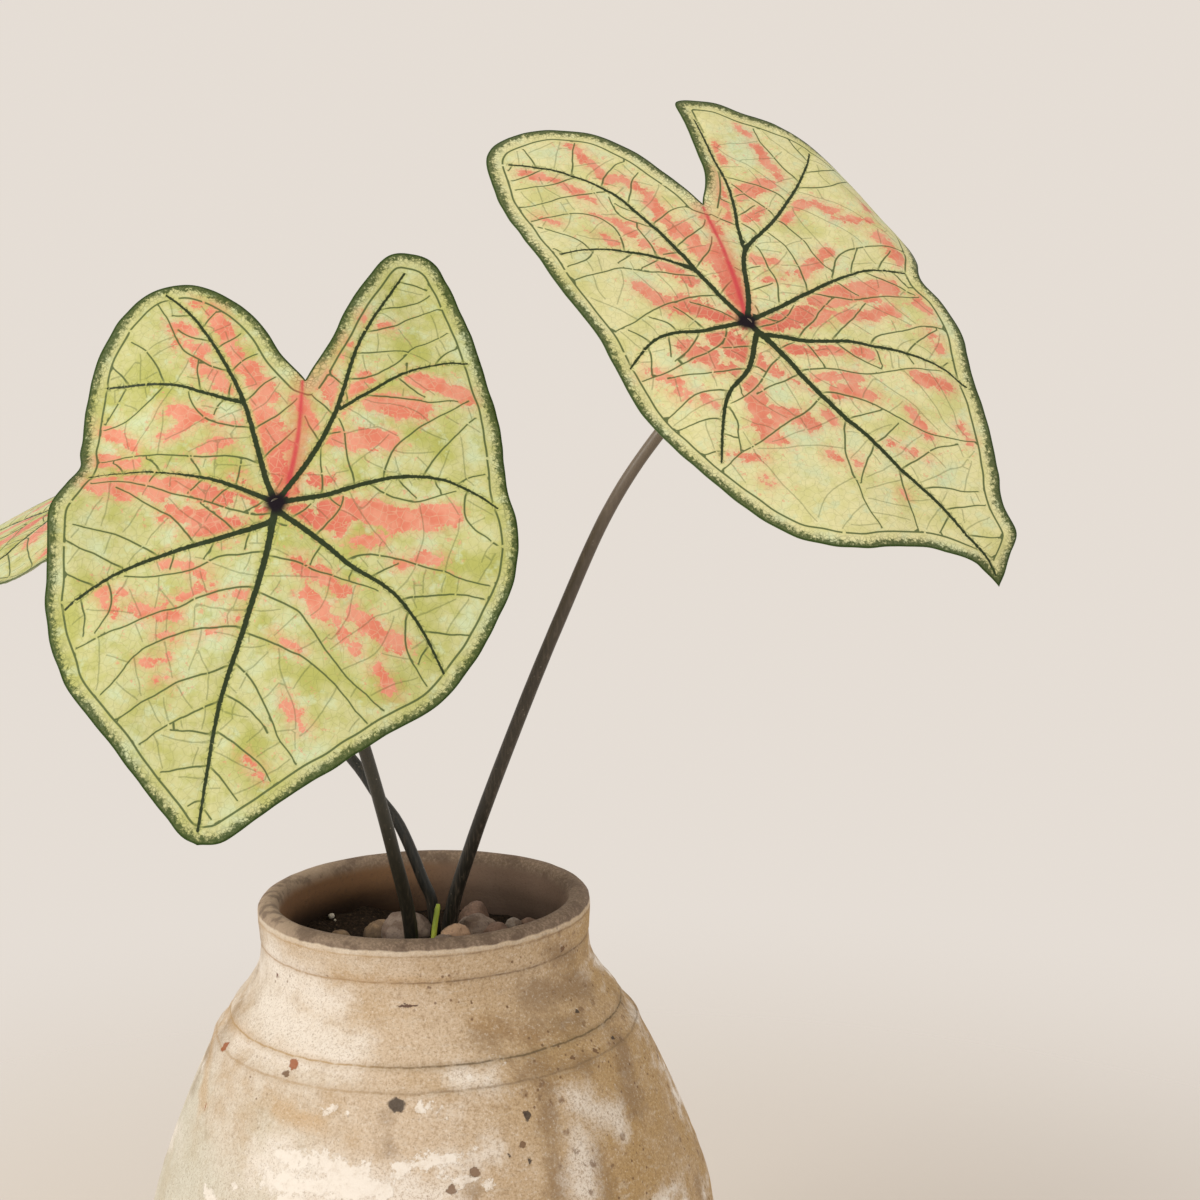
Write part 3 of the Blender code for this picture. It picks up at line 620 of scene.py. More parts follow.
class Paint:
    """One material, with short calls for its nodes. An input is a number, a colour or a socket."""

    def __init__(self, name, roughness, specular):
        self.material = bpy.data.materials.new(name)
        self.material.use_nodes = True
        self.tree = self.material.node_tree
        self.shader = self.tree.nodes["Principled BSDF"]
        self.put(self.shader.inputs["Roughness"], roughness)
        self.put(self.shader.inputs["Specular IOR Level"], specular)
        self.place = self.node("ShaderNodeTexCoord").outputs["Object"]

    def put(self, socket, value):
        if isinstance(value, bpy.types.NodeSocket):
            self.tree.links.new(value, socket)
        else:
            socket.default_value = (*value, 1.0) if socket.type == "RGBA" else value

    def node(self, kind, inputs=None, **settings):
        made = self.tree.nodes.new(kind)
        for key, value in settings.items():
            setattr(made, key, value)
        for key, value in (inputs or {}).items():
            self.put(made.inputs[key], value)
        return made

    def attribute(self, name, kind="Fac"):
        return self.node("ShaderNodeAttribute", attribute_name=name).outputs[kind]

    def axes(self):
        return self.node("ShaderNodeSeparateXYZ", {0: self.place}).outputs

    def math(self, operation, *values):
        return self.node("ShaderNodeMath", dict(enumerate(values)), operation=operation).outputs[0]

    def vector(self, operation, *values):
        made = self.node("ShaderNodeVectorMath", dict(enumerate(values)), operation=operation)
        return made.outputs["Value" if operation == "LENGTH" else "Vector"]

    def add(self, first, *rest):
        return self.math("ADD", first, self.add(*rest)) if rest else first

    def times(self, first, *rest):
        return self.math("MULTIPLY", first, self.times(*rest)) if rest else first

    def scaled(self, value, factor, offset):
        return self.math("MULTIPLY_ADD", value, factor, offset)

    def step(self, value, low, high):
        """0 below low and 1 above high, with an eased rise; low may be the larger one."""
        return self.node("ShaderNodeMapRange", {"Value": value, "From Min": low, "From Max": high},
                         interpolation_type="SMOOTHSTEP").outputs["Result"]

    def noise(self, size, detail=2, roughness=0.5, where=None, output="Fac"):
        """Noise from 0 to 1 whose blobs are about size millimetres across."""
        return self.node("ShaderNodeTexNoise",
                         {"Vector": where or self.place, "Scale": 1 / (size * MM),
                          "Detail": detail, "Roughness": roughness}).outputs[output]

    def swing(self, amount, *noise_settings):
        """Noise about 0, where the settings are those of noise."""
        return self.times(self.math("SUBTRACT", self.noise(*noise_settings), 0.5), amount)

    def cells(self, size, feature="F1"):
        """The distance to a cell's middle or edge, as a share of a cell's size in mm."""
        return self.node("ShaderNodeTexVoronoi", {"Vector": self.place, "Scale": 1 / (size * MM)},
                         feature=feature).outputs["Distance"]

    def stretched(self, x, y, z, where=None):
        return self.vector("MULTIPLY", where or self.place, (x, y, z))

    def mix(self, factor, first, second):
        return self.node("ShaderNodeMix", {0: factor, 6: first, 7: second},
                         data_type="RGBA").outputs[2]

    def over(self, color, *coats):
        """The colour with coats on it: each has a shade, a mask and often the most it covers."""
        for shade, *mask in coats:
            color = self.mix(self.times(*mask), color, shade)
        return color

    def finish(self, color, *bumps, **inputs):
        """The material, with bumps on each other as (height from 0 to 1, mm, strength)."""
        for height, distance, strength in bumps:
            below = {key: inputs[key] for key in inputs if key == "Normal"}
            inputs["Normal"] = self.node("ShaderNodeBump", {
                "Height": height, "Distance": distance * MM, "Strength": strength,
                **below}).outputs["Normal"]
        for key, value in {"Base Color": color, **inputs}.items():
            self.put(self.shader.inputs[key], value)
        return self.material


CORAL = (0.70, 0.200, 0.130)
CORAL_DEEP = (0.64, 0.135, 0.095)
CORAL_SOFT = (0.75, 0.300, 0.205)
CORAL_NET = (0.82, 0.50, 0.33)
VEIN_DARK = (0.025, 0.039, 0.013)
VEIN_GREEN = (0.075, 0.11, 0.035)
RIM_DARK = (0.034, 0.064, 0.011)
MINT = (0.59, 0.68, 0.43)
SINUS_RED = (0.58, 0.055, 0.070)
HUB_DARK = (0.012, 0.008, 0.012)
PALE_BACK = (0.50, 0.56, 0.34)


def leaf_material(name):
    """Pale green tissue with ragged coral blotches, dark veins, a fine net and a green margin."""
    pale, green = LEAVES[name]["pale"], LEAVES[name]["green"]
    paint = Paint(f"leaf_{name}", 0.5, 0.14)
    paint.place = paint.attribute("on_leaf", "Vector")
    streak = paint.attribute("streak", "Vector")
    step, times, add, over = paint.step, paint.times, paint.add, paint.over
    main, second, third, red, rim, hub = (paint.attribute(field) for field in (
        "vein_main", "vein_second", "vein_third", "red", "rim", "hub"))
    cloud = paint.noise(26, 3, 0.55)
    fine = paint.noise(1.8, 3, 0.6)
    patchy = paint.noise(8, 3, 0.6)
    color = over(pale, (green, step(cloud, 0.48, 0.66)), (MINT, step(cloud, 0.48, 0.32), 0.8),
                 (green, step(patchy, 0.50, 0.66), 0.55), (MINT, step(patchy, 0.46, 0.32), 0.60),
                 (green, step(fine, 0.45, 0.7), 0.22), (pale, step(rim, 9, 4), 0.20))

    # Blotches: listed marks whose edge noise breaks up
    jagged = paint.swing(5.5, 2, 3, 0.7)
    blush = add(paint.attribute("blush"), paint.swing(11, 7, 3, 0.6), jagged,
                paint.swing(3, 2.6, 2, 0.6, streak))
    patch = times(step(blush, 0.4, 1.1), paint.scaled(step(main, -0.4, -1.7), 0.8, 0.2),
                  step(rim, 4, 7.5))
    coral = over(CORAL_SOFT, (CORAL, step(paint.noise(9), 0.40, 0.62)),
                 (CORAL_DEEP, step(hub, 42, 8)), (CORAL_SOFT, step(fine, 0.40, 0.25), 0.5))
    islands = times(step(paint.noise(3.4, 4, 0.7), 0.58, 0.64), step(blush, -11, -5),
                    step(rim, 6, 10))
    color = over(color, (CORAL_SOFT, step(blush, -4, 0.6), 0.30), (CORAL_SOFT, islands, 0.55),
                 (coral, patch, 0.94))

    # Veins, from the faint net up to those that branch off the main ones
    net_lines = paint.cells(3.4, "DISTANCE_TO_EDGE")
    net = step(net_lines, 0.055, 0.015)
    edge_net = times(step(paint.cells(1.9, "DISTANCE_TO_EDGE"), 0.14, 0.03), step(rim, 7, 2))
    spurs = times(step(net_lines, 0.07, 0.03), step(main, -1.3, -0.5))
    color = over(color, (VEIN_GREEN, net, 0.12), (CORAL_NET, times(net, patch), 0.45),
                 (VEIN_GREEN, edge_net, 0.55), (VEIN_GREEN, step(third, -0.35, 0.05), 0.42),
                 (green, step(second, -1.3, 0.1), 0.30),
                 (VEIN_GREEN, step(second, -0.30, 0.05), 0.92),
                 (green, step(main, -2.4, -0.1), 0.50), (VEIN_GREEN, spurs, 0.5))

    # The red line from the notch to the stem, the main veins, and the dark spot over the stem
    glow = times(step(add(red, jagged), -7, 0.5), step(hub, 95, 15))
    vein = step(add(main, paint.swing(0.9, 1.6)), -0.28, 0.12)
    color = over(color, (CORAL_DEEP, glow, 0.65), (SINUS_RED, step(red, -0.6, 0.9), 0.85),
                 (VEIN_DARK, vein), (HUB_DARK, step(hub, 6.5, 2.6)))

    # Green margin: flecks that thicken towards a dark edge line, and stay clear of the notch
    flecks = add(times(rim, -0.085), paint.scaled(paint.noise(38, 1), 0.36, -0.32),
                 paint.noise(2, 4, 0.75))
    band = times(step(flecks, 0.03, 0.22), step(red, -5, -18))
    color = over(color, (RIM_DARK, band, 0.88), (RIM_DARK, step(rim, 1.1, 0.5)))
    color = over(color, (paint.mix(0.55, color, PALE_BACK), paint.attribute("underside")))
    roughness = add(paint.scaled(fine, 0.25, 0.34), times(step(hub, 7, 3), 0.5))
    return paint.finish(color, (patchy, 1.6, 0.55), (times(paint.cells(1.6), -1), 0.12, 0.5),
                        (net, 0.12, 0.4), Roughness=roughness)


# Stems, as in the part

STEM_RADII = {"left": (3.3, 2.4), "right": (3.3, 2.4), "back": (2.7, 2.2)}
STEM_RUN_IN = 9
STEM_TOUCH = 0.3
STEM_SIDES = 24
STEM_WAVER = 0.02
STEMS = {
    "left": [(-6, -10.5, 236.3), (-5.1, -14, 286.8), (-10.4, -28, 327.3), (-19.8, -45, 377.7),
        (-33, -61.5, 434)],
    "right": [(6.5, 1, 236.3), (10.6, 0, 285.3), (22.5, -4, 325), (43.1, -15, 379),
        (62.7, -25, 426.4), (84, -33, 473.2), (107, -37, 507.5)],
    "back": [(3, 12, 236.3), (3.3, 12, 286.8), (-1.5, 12.5, 303.9), (-10.8, 14.5, 327.4),
        (-20.3, 16.5, 340.8), (-32.1, 18.5, 358.2), (-62, 27, 389), (-95, 35, 420),
        (-130, 40, 449)],
}
SHOOT = [(5.8, -14.5, 236.3), (4.6, -12.8, 268), (4.6, -12.2, 284.3), (6.8, -9, 298.2)]
SHOOT_RADIUS = 1.45
SHOOT_SIDES = 18

# Stem colours from foot to tip
STEM_TONES = {
    "left": [(0.007, 0.008, 0.006), (0.030, 0.028, 0.018), (0.085, 0.068, 0.045)],
    "right": [(0.007, 0.008, 0.006), (0.040, 0.031, 0.019), (0.200, 0.155, 0.115)],
    "back": [(0.007, 0.008, 0.006), (0.016, 0.017, 0.014), (0.090, 0.070, 0.050)],
}
STEM_SPECK = (0.30, 0.26, 0.20)
SHOOT_LIGHT = (0.40, 0.48, 0.06)
SHOOT_GREEN = (0.27, 0.38, 0.035)
SHOOT_FOOT = (0.50, 0.50, 0.20)


def make_stem(name):
    leaf = LEAVES[name]
    face = leaf_axes(leaf)[2]
    end = np.array(leaf["at"]) - (BLADE_THICKNESS + STEM_TOUCH) * face
    route = smooth_route([*STEMS[name], end - STEM_RUN_IN * face, end], 4)
    share = np.linspace(0.0, 1.0, len(route))
    foot_radius, tip_radius = STEM_RADII[name]
    waver = np.array([noise.noise((0.0, 0.0, k * 0.31)) for k in range(len(route))])
    radii = (foot_radius + (tip_radius - foot_radius) * share) * (1 + STEM_WAVER * waver)
    new_piece(f"stem_{name}", *tube(route, radii, STEM_SIDES), stem_material(name),
              [f"petiole_{name}"], "petiole", {"share": np.repeat(share, STEM_SIDES)})


def stem_material(name):
    foot, middle, tip = STEM_TONES[name]
    paint = Paint(f"stem_{name}", 0.42, 0.45)
    step, share = paint.step, paint.attribute("share")
    grain = paint.noise(1.1, 3, 0.6, paint.stretched(1, 1, 0.1))
    specks = paint.times(step(paint.cells(2.6), 0.16, 0.08), step(paint.noise(9), 0.5, 0.65))
    color = paint.over(foot, (middle, step(share, 0.14, 0.42)), (tip, step(share, 0.45, 0.98)),
                       (tip, step(grain, 0.45, 0.75), 0.35), (STEM_SPECK, specks, 0.5))
    return paint.finish(color, (grain, 0.12, 0.5), Roughness=paint.scaled(grain, 0.3, 0.26))


def make_shoot():
    """The young leaf, still rolled up: a round spike that leans and ends in a blunt tip."""
    route = smooth_route(SHOOT, 2)
    share = np.linspace(0.0, 1.0, len(route))
    radii = SHOOT_RADIUS * (1 - 0.2 * share) * np.sqrt(np.clip((1.03 - share) / 0.06, 0.12, 1))
    paint = Paint("shoot", 0.4, 0.4)
    stripes = paint.noise(3, 2, 0.5, paint.stretched(1, 1, 0.3))
    color = paint.over(SHOOT_LIGHT, (SHOOT_GREEN, paint.step(stripes, 0.4, 0.65)),
                       (SHOOT_FOOT, paint.step(paint.axes()["Z"], 0.286, 0.272)))
    new_piece("new_shoot", *tube(route, radii, SHOOT_SIDES), paint.finish(color), ["shoot"],
              "shoot")


# Jar: turned profiles as (radius, height), as in the part

JAR_SEGMENTS = 256
SLOW_SWELL, TURNING_MARKS, ROUGH_WALL, ROUGH_LIP, LIP_WEAR = 0.7, 0.22, 0.10, 0.12, 0.15
FLOOR_THICKNESS = 11
FLOOR_RADIUS = 72
JAR_FOOT = (80, 0)
JAR_BELLY = [(84, 4), (105, 42), (119, 82), (127, 128), (125.5, 160), (115.4, 192), (105, 218),
    (95.6, 238.5)]
JAR_SHOULDER = [(94.2, 242.8), (91.4, 245.6), (88.9, 248.4), (87.3, 251.8), (84.6, 255.6)]
JAR_NECK = [(80.4, 260.4), (75.2, 268.6), (72.5, 277.6), (72.9, 289.2)]
JAR_LIP = [(73.4, 296.4), (71.6, 300), (67.6, 301.2), (64.4, 299.8)]
JAR_INSIDE = [(62.8, 295.2), (62.9, 284), (66.6, 269), (86, 240), (106, 192), (117, 150),
    (117, 115), (108, 76), (90, 34), (76, 14)]
JAR_GROOVES = [(252.2, 0.9, 0.8), (243.6, 0.8, 0.5), (283.4, 0.7, 0.4)]   # height, reach, depth

# Marks on the jar, as (degrees round from the front, height) pairs with a half width in mm
JAR_MARKS = {
    "bloom": [(-62, 281, -26, 273, 8), (-59, 265, -20, 256, 9), (-64, 250, -38, 249, 3),
        (12, 249, 19, 246, 4), (8, 216, 18, 220, 4), (2, 238, 10, 235, 2), (42, 231, 52, 220, 7),
        (39, 219, 38, 200, 7), (-36, 214, 4, 204, 10)],
    "flakes": [(-32, 217, -12, 215, 4), (-34, 207, -6, 209, 4.5), (-5, 216, 14, 221, 2.5),
        (6, 213, 19, 207, 1), (12, 248, 17, 247, 1), (-25, 236, -18, 237, 0.5),
        (2, 238, 9, 236, 1.5), (-52, 194, -48, 192, 3), (-44, 202, -43, 200, 2),
        (-47, 204, -47, 204, 0), (-42, 214, -42, 213, 0), (-40, 211, -40, 211, 0),
        (22, 252, 24, 252, 0.5), (-28, 198, 8, 193, 6)],
    "brown": [(-6, 236, -6, 223, 2), (29, 247, 52, 243, 3), (35, 240, 31, 199, 4),
        (43, 208, 43, 193, 4), (66, 244, 60, 222, 6), (39, 272, 68, 266, 6), (19, 261, 56, 258, 4),
        (50, 288, 64, 282, 4), (13, 216, 13, 205, 2)],
    "ochre": [(-92, 249, -58, 252, 2), (-45, 256, -25, 253, 1), (-36, 233, -23, 230, 3),
        (-28, 285, 11, 284, 1), (19, 265, 37, 258, 2), (-80, 238, -66, 222, 4)],
}

# Lines turned into the clay, dark by their own colour and by painted groove shade: height, shades
# at the pale and at the brown side (darker there by painted shade), strength
JAR_LINES = [(252.2, (0.42, 0.27, 0.12), (0.11, 0.08, 0.042), 0.75),
    (243.6, (0.42, 0.28, 0.15), (0.2, 0.135, 0.075), 0.5),
    (283.4, (0.38, 0.24, 0.12), (0.17, 0.11, 0.062), 0.65),
    (294.9, (0.42, 0.27, 0.13), (0.2, 0.13, 0.075), 0.45)]

# Spots: degrees round, height, half width across, half height, colour
RUST = (0.33, 0.095, 0.028)
SOOT = (0.05, 0.038, 0.032)
STAIN = (0.17, 0.095, 0.05)
JAR_SPOTS = [(-56.6, 276.9, 1, 1.4, (0.16, 0.06, 0.035)), (-2.2, 274, 4, 0.6, (0.09, 0.042, 0.03)),
    (-67.1, 244.5, 2.2, 3, RUST), (-35, 249.3, 2.3, 2.3, RUST), (-36.3, 245.8, 1.7, 1.6, STAIN),
    (-64, 221.7, 0.6, 3.2, RUST), (-4, 239.4, 3.5, 2.8, SOOT), (27.7, 231.1, 1.4, 3.1, SOOT),
    (25.3, 220.9, 1.6, 1.2, STAIN), (26.3, 214.4, 1, 1.4, SOOT), (21.7, 217.9, 0.6, 0.6, SOOT),
    (13.5, 213.7, 2, 1.6, (0.21, 0.125, 0.075)), (8.4, 207.9, 2, 1.8, (0.21, 0.125, 0.075)),
    (18.6, 273.8, 0.8, 0.6, STAIN), (30.9, 269.9, 0.7, 0.6, STAIN), (56.3, 260.5, 1, 1, SOOT),
    (57.1, 286.6, 1.5, 1.1, STAIN), (54.9, 245.5, 1.7, 1.1, STAIN), (46, 246.4, 1.4, 0.9, STAIN),
    (64.8, 246.1, 1.4, 1, SOOT), (118, 236, 2.6, 2, SOOT), (196, 212, 3, 3.4, RUST),
    (-128, 186, 2.4, 1.8, SOOT)]


def jar_profile():
    """The wall's outline from the middle of the foot, over the lip and down inside."""
    outer = smooth_route([*JAR_BELLY, *JAR_SHOULDER, *JAR_NECK, *JAR_LIP], 1.5)
    inner = smooth_route([JAR_LIP[-1], *JAR_INSIDE[:4]], 2)[1:]
    deep = smooth_route(JAR_INSIDE[3:], 14)[1:]
    return [(0, 0), (40, 0), JAR_FOOT, (82.6, 1.4), *map(tuple, outer), *map(tuple, inner),
            *map(tuple, deep), (FLOOR_RADIUS, FLOOR_THICKNESS), (0, FLOOR_THICKNESS)]


def outer_radius(height):
    """The outside radius of the jar at one height."""
    radii, heights = zip(JAR_FOOT, *JAR_BELLY, *JAR_SHOULDER, *JAR_NECK, JAR_LIP[0])
    return float(np.interp(height, heights, radii))


def jar_marks(around, height, marks):
    """Depth inside marks that are laid out by degrees and height, measured on the wall."""
    depth = np.full(len(around), -30.0)
    for turn1, height1, turn2, height2, width in marks:
        middle = math.radians((turn1 + turn2) / 2)
        radius = outer_radius((height1 + height2) / 2)
        off = (around - middle + math.pi) % (2 * math.pi) - math.pi
        points = np.stack([off * radius, height], 1)
        half = math.radians((turn2 - turn1) / 2) * radius
        depth = np.maximum(depth, mark_depth(points, [(-half, height1, half, height2, width)]))
    return depth


def make_jar():
    profile = jar_profile()
    lip_row = max(range(len(profile)), key=lambda row: profile[row][1])

    def worn(radius, height, angle, row):
        x, y = math.cos(angle) * radius, math.sin(angle) * radius
        slow = noise.noise((x / 70, y / 70, height / 45))
        turning = noise.noise((0.3, 0.7, height / 4.5))
        rough = noise.noise((x / 6, y / 6, height / 6))
        near_lip = float(ease(height, 290, 297))
        move = (float(ease(height, 1, 12))
                * (SLOW_SWELL * slow + TURNING_MARKS * turning + ROUGH_WALL * rough)
                + ROUGH_LIP * near_lip * rough)
        drop = LIP_WEAR * near_lip * (noise.noise((x / 14, y / 14, 2)) - 0.6)
        if row > lip_row:
            return radius - move * 0.5, height + drop
        for groove, reach, depth in JAR_GROOVES:
            move -= depth * math.exp(-((height - groove) / reach) ** 2)
        return radius + move, height + drop

    verts, faces = turned_grid(profile, JAR_SEGMENTS, worn)
    x, y, height = np.array(verts).T
    around = np.arctan2(x, -y)
    rows = [row for row, (radius, _) in enumerate(profile)
            for _ in range(JAR_SEGMENTS if radius else 1)]
    fields = {field: jar_marks(around, height, marks) for field, marks in JAR_MARKS.items()}
    fields["inside"] = np.array(rows) > lip_row + 1
    fields["unseen"] = np.maximum(ease(np.abs(np.degrees(around)), 62, 84),
                                  ease(-height, -192, -176))
    new_piece("clay_jar", verts, faces, jar_material(), ["jar"], "clay", fields)


PALE_SLIP = (0.71, 0.64, 0.545)
CREAM = (0.63, 0.50, 0.365)
TAN = (0.53, 0.385, 0.235)
BROWN_CLAY_AND_SHADE = (0.47, 0.315, 0.145)
SAND_BROWN = (0.30, 0.190, 0.095)
GREY_GREEN = (0.60, 0.60, 0.49)
CHALK = (0.85, 0.79, 0.715)
OCHRE = (0.54, 0.335, 0.14)
UMBER = (0.20, 0.125, 0.068)
LIP_BROWN = (0.18, 0.130, 0.092)
LIP_LIGHT = (0.28, 0.205, 0.150)
LIP_DARK = (0.105, 0.070, 0.050)
LIP_PAINTED_LIGHT = (0.45, 0.345, 0.250)
INNER_LEFT = (0.23, 0.125, 0.062)
INNER_RIGHT = (0.20, 0.135, 0.098)
INNER_PAINTED_SHADE = (0.016, 0.009, 0.006)


def jar_material():
    """Weathered earthenware: pale slip that turns brown and darker to one side, partly its own tone
    and partly painted light and shade; bloom, flakes and stains.

    A step on height, edge or drift is in metres: drift is X with noise, and -0.1 the pale side.
    """
    paint = Paint("clay_jar", 0.85, 0.25)
    step, times, add, over = paint.step, paint.times, paint.add, paint.over
    sideways, height = paint.axes()["X"], paint.axes()["Z"]
    grit = paint.noise(1.2, 4, 0.7)
    mottle = paint.noise(4.5, 5, 0.7)
    blot = paint.noise(24, 5, 0.62)
    brush = paint.noise(9, 4, 0.65, paint.stretched(1, 1, 3.5))
    drift = add(sideways, paint.swing(0.11, 60, 4))
    low_left = times(step(drift, -0.05, -0.10), step(height, 0.245, 0.222))
    # From pale at the left to brown and darker at the right: partly the clay's own tone, partly
    # painted light at the left and painted shade at the right
    color = over(PALE_SLIP, (CREAM, step(drift, -0.10, 0)), (BROWN_CLAY_AND_SHADE, step(drift, 0, 0.085)),
                 (TAN, step(blot, 0.42, 0.64), 0.7), (SAND_BROWN, step(mottle, 0.50, 0.68), 0.32),
                 (PALE_SLIP, step(brush, 0.52, 0.72), 0.35), (GREY_GREEN, low_left, 0.6))

    # Stains and bloom with soft, ragged edges, in marks at the front and in noise elsewhere
    unseen = paint.attribute("unseen")
    ragged = add(paint.swing(24, 15, 5, 0.65), paint.swing(8, 2.2, 3, 0.7))
    drawn = paint.noise(40, 6, 0.62, paint.stretched(1, 1, 1.7))

    def marked(field, edge, low, high, loose):
        marks = step(add(paint.attribute(field), edge), low, high)
        return paint.math("MAXIMUM", marks, times(loose, unseen))

    ochre = step(add(paint.attribute("ochre"), times(ragged, 0.5)), -3.5, 3)
    brown = marked("brown", ragged, -5, 6, step(paint.noise(46, 5, 0.62), 0.52, 0.68))
    bloom = marked("bloom", ragged, -6, 7, step(drawn, 0.50, 0.64))
    color = over(color, (OCHRE, ochre, 0.5), (UMBER, brown, 0.55), (CHALK, bloom, 0.74))

    # Sandy grain, then the flakes that lie on it, pores and pits
    sand = paint.noise(0.7, 2, 0.6)
    coarse = paint.scaled(step(drift, -0.08, 0.06), 0.34, 0.26)
    broken = add(paint.swing(22, 8, 5, 0.68), paint.swing(7, 1.8, 3, 0.7))
    flakes = marked("flakes", broken, -0.2, 1.2, step(drawn, 0.605, 0.63))
    thin = paint.scaled(step(mottle, 0.64, 0.44), 0.40, 0.50)
    crowd = add(paint.noise(20), times(step(drift, -0.02, 0.09), 0.16))
    pores = times(step(paint.cells(4.2), 0.20, 0.10), step(crowd, 0.56, 0.70))
    pits = times(step(paint.cells(7.5), 0.30, 0.16), step(mottle, 0.46, 0.54),
                 step(drift, 0.02, 0.08), step(blot, 0.44, 0.54))
    color = over(color, (SAND_BROWN, step(grit, 0.48, 0.66), coarse),
                 (CHALK, step(grit, 0.46, 0.30), 0.38), (UMBER, step(sand, 0.54, 0.70), 0.42),
                 (CHALK, flakes, thin), (STAIN, pores, 0.8), (STAIN, pits, 0.7))

    # Lines turned into the shoulder and the neck: a crisp line of its own colour in a wider soft
    # band of painted groove shade, both darker at the brown side by painted shade
    unsteady = paint.swing(0.0014, 7)
    brown_and_shaded_side = step(drift, -0.05, 0.03)
    for line, pale_shade, brown_and_shadow_shade, strength in JAR_LINES:
        off = paint.math("ABSOLUTE", add(paint.math("SUBTRACT", height, line * MM), unsteady))
        shade = paint.mix(brown_and_shaded_side, pale_shade, brown_and_shadow_shade)
        crisp = times(step(off, 0.0006, 0.0001), step(mottle, 0.30, 0.52))
        color = over(color, (shade, step(off, 0.0026, 0.0003), 0.32 * strength),
                     (shade, crisp, strength))

    # Single spots, whose outlines a fine noise bends
    bent = paint.vector("SUBTRACT", paint.noise(1 / 0.45, 3, output="Color"), (0.5, 0.5, 0.5))
    place = paint.vector("ADD", paint.place, paint.stretched(0.0036, 0.0036, 0.0036, bent))
    dents = 0.0
    for turn, spot_height, half_width, half_height, shade in JAR_SPOTS:
        angle, radius = math.radians(turn), outer_radius(spot_height)
        centre = (radius * MM * math.sin(angle), -radius * MM * math.cos(angle), spot_height * MM)
        away = paint.stretched(1 / half_width, 1 / half_width, 1 / half_height,
                               paint.vector("SUBTRACT", place, centre))
        spot = step(paint.vector("LENGTH", away), 0.00120, 0.00085)
        color = over(color, (shade, spot, 0.88))
        dents = add(dents, spot)

    # Sooty lip, lighter at the pale side by painted light, over a pale band; the inside darkens
    # downwards, most at the left, in painted shade
    edge = add(height, paint.swing(0.0022, 9, 3))
    lip = over(LIP_BROWN, (LIP_LIGHT, step(grit, 0.42, 0.64)),
               # The lip's pale left side is lighter: painted light from the lamp at the left
               (LIP_PAINTED_LIGHT, step(drift, -0.015, -0.075), 0.75),
               (LIP_DARK, step(paint.noise(9, 5, 0.65), 0.46, 0.62), 0.6))
    shaded = paint.scaled(step(sideways, 0.01, -0.04), 0.45, 0.5)
    inner = over(INNER_LEFT, (INNER_RIGHT, step(sideways, -0.03, 0.03)),
                 (LIP_DARK, step(grit, 0.5, 0.72), 0.45),
                 # Near black low in the jar, most at the left: painted shade inside the mouth
                 (INNER_PAINTED_SHADE, step(edge, 0.2930, 0.2790), shaded))
    color = over(color, (PALE_SLIP, step(edge, 0.2952, 0.2960), 0.3),
                 (lip, step(edge, 0.2970, 0.2979)),
                 (over(lip, (inner, step(edge, 0.2990, 0.2940))), paint.attribute("inside")))
    return paint.finish(color, (grit, 0.5, 0.5), (flakes, 0.35, 0.5),
                        (times(dents, -1), 0.6, 0.6), (brush, 0.6, 0.3))


# Soil, and the pebbles that dress it, as in the part

SOIL_TOP = 272
SOIL_GAP = 0.3
SOIL_WALL_GAP = 0.45
SOIL_RAISED = 1                  # crumbs lie this far over the solid's top
SOIL_HEAP = 5                    # the soil lies this much higher against the wall at the left
SOIL_LUMPS = [(1.6, 9, 0), (0.9, 3, 4)]     # height, size, layer of noise
SOIL_RINGS = 36
SOIL_SEGMENTS = 160
SOIL_DARK = (0.012, 0.008, 0.005)
SOIL_LIGHT = (0.060, 0.038, 0.024)
SOIL_CRUMB = (0.16, 0.11, 0.07)

# Pebbles: place of the middle, radius, and height as a share of width
PEBBLES = [(-9.5, 9, 280.6, 10.7, 0.8), (-20.5, 22.5, 274.8, 9.3, 0.7), (-38.5, 11, 276.5, 5, 0.8),
    (14.2, -12, 283.6, 6.8, 0.95), (9, -19.5, 284.2, 4.4, 0.8), (20.5, 22, 281, 6.6, 1.3),
    (22.8, 7, 280.8, 8.6, 0.85), (30.5, 3.5, 279.6, 7.4, 0.8), (38.8, 9, 281.6, 4.2, 0.95),
    (45.5, 12, 280.5, 4.8, 0.8), (-50, -8, 275, 9, 0.75), (-45, -27, 276.5, 9, 0.75),
    (-31, -41, 277, 10, 0.78), (-12, -49, 277, 10.5, 0.78), (8, -50, 277, 10, 0.8),
    (27, -44, 277, 10, 0.78), (42, -30, 277, 10, 0.75), (50, -12, 276, 9.5, 0.75),
    (-26, -22, 277, 10, 0.8), (-13, -32, 277, 9, 0.8), (4, -31, 277, 9.5, 0.8),
    (21, -26, 278, 10, 0.8), (33, -12, 276.5, 9.5, 0.78), (-28, -8, 276, 8, 0.7),
    (-14.5, -2, 275, 6.5, 0.75), (21.5, -6, 276.5, 7, 0.8), (10.5, -20.5, 276.5, 6.8, 0.8),
    (45, 4, 276, 8.5, 0.75)]
PEBBLE_STRETCH = (0.94, 1.08)
PEBBLE_TILT = 0.3
# Dents of a stone: depth, fineness, and how far on in the noise each next stone lies
PEBBLE_DENTS = [(0.13, 1.3, (7, 0, 0)), (0.055, 3.4, (0, 5, 0)), (0.020, 11, (0, 0, 0))]
PEBBLE_DUST = (0.46, 0.36, 0.28)
PEBBLE_CLOUD = (0.12, 0.074, 0.050)
PEBBLE_PIT = (0.07, 0.045, 0.034)
PEBBLE_FOOT_SHADE = (0.030, 0.021, 0.015)

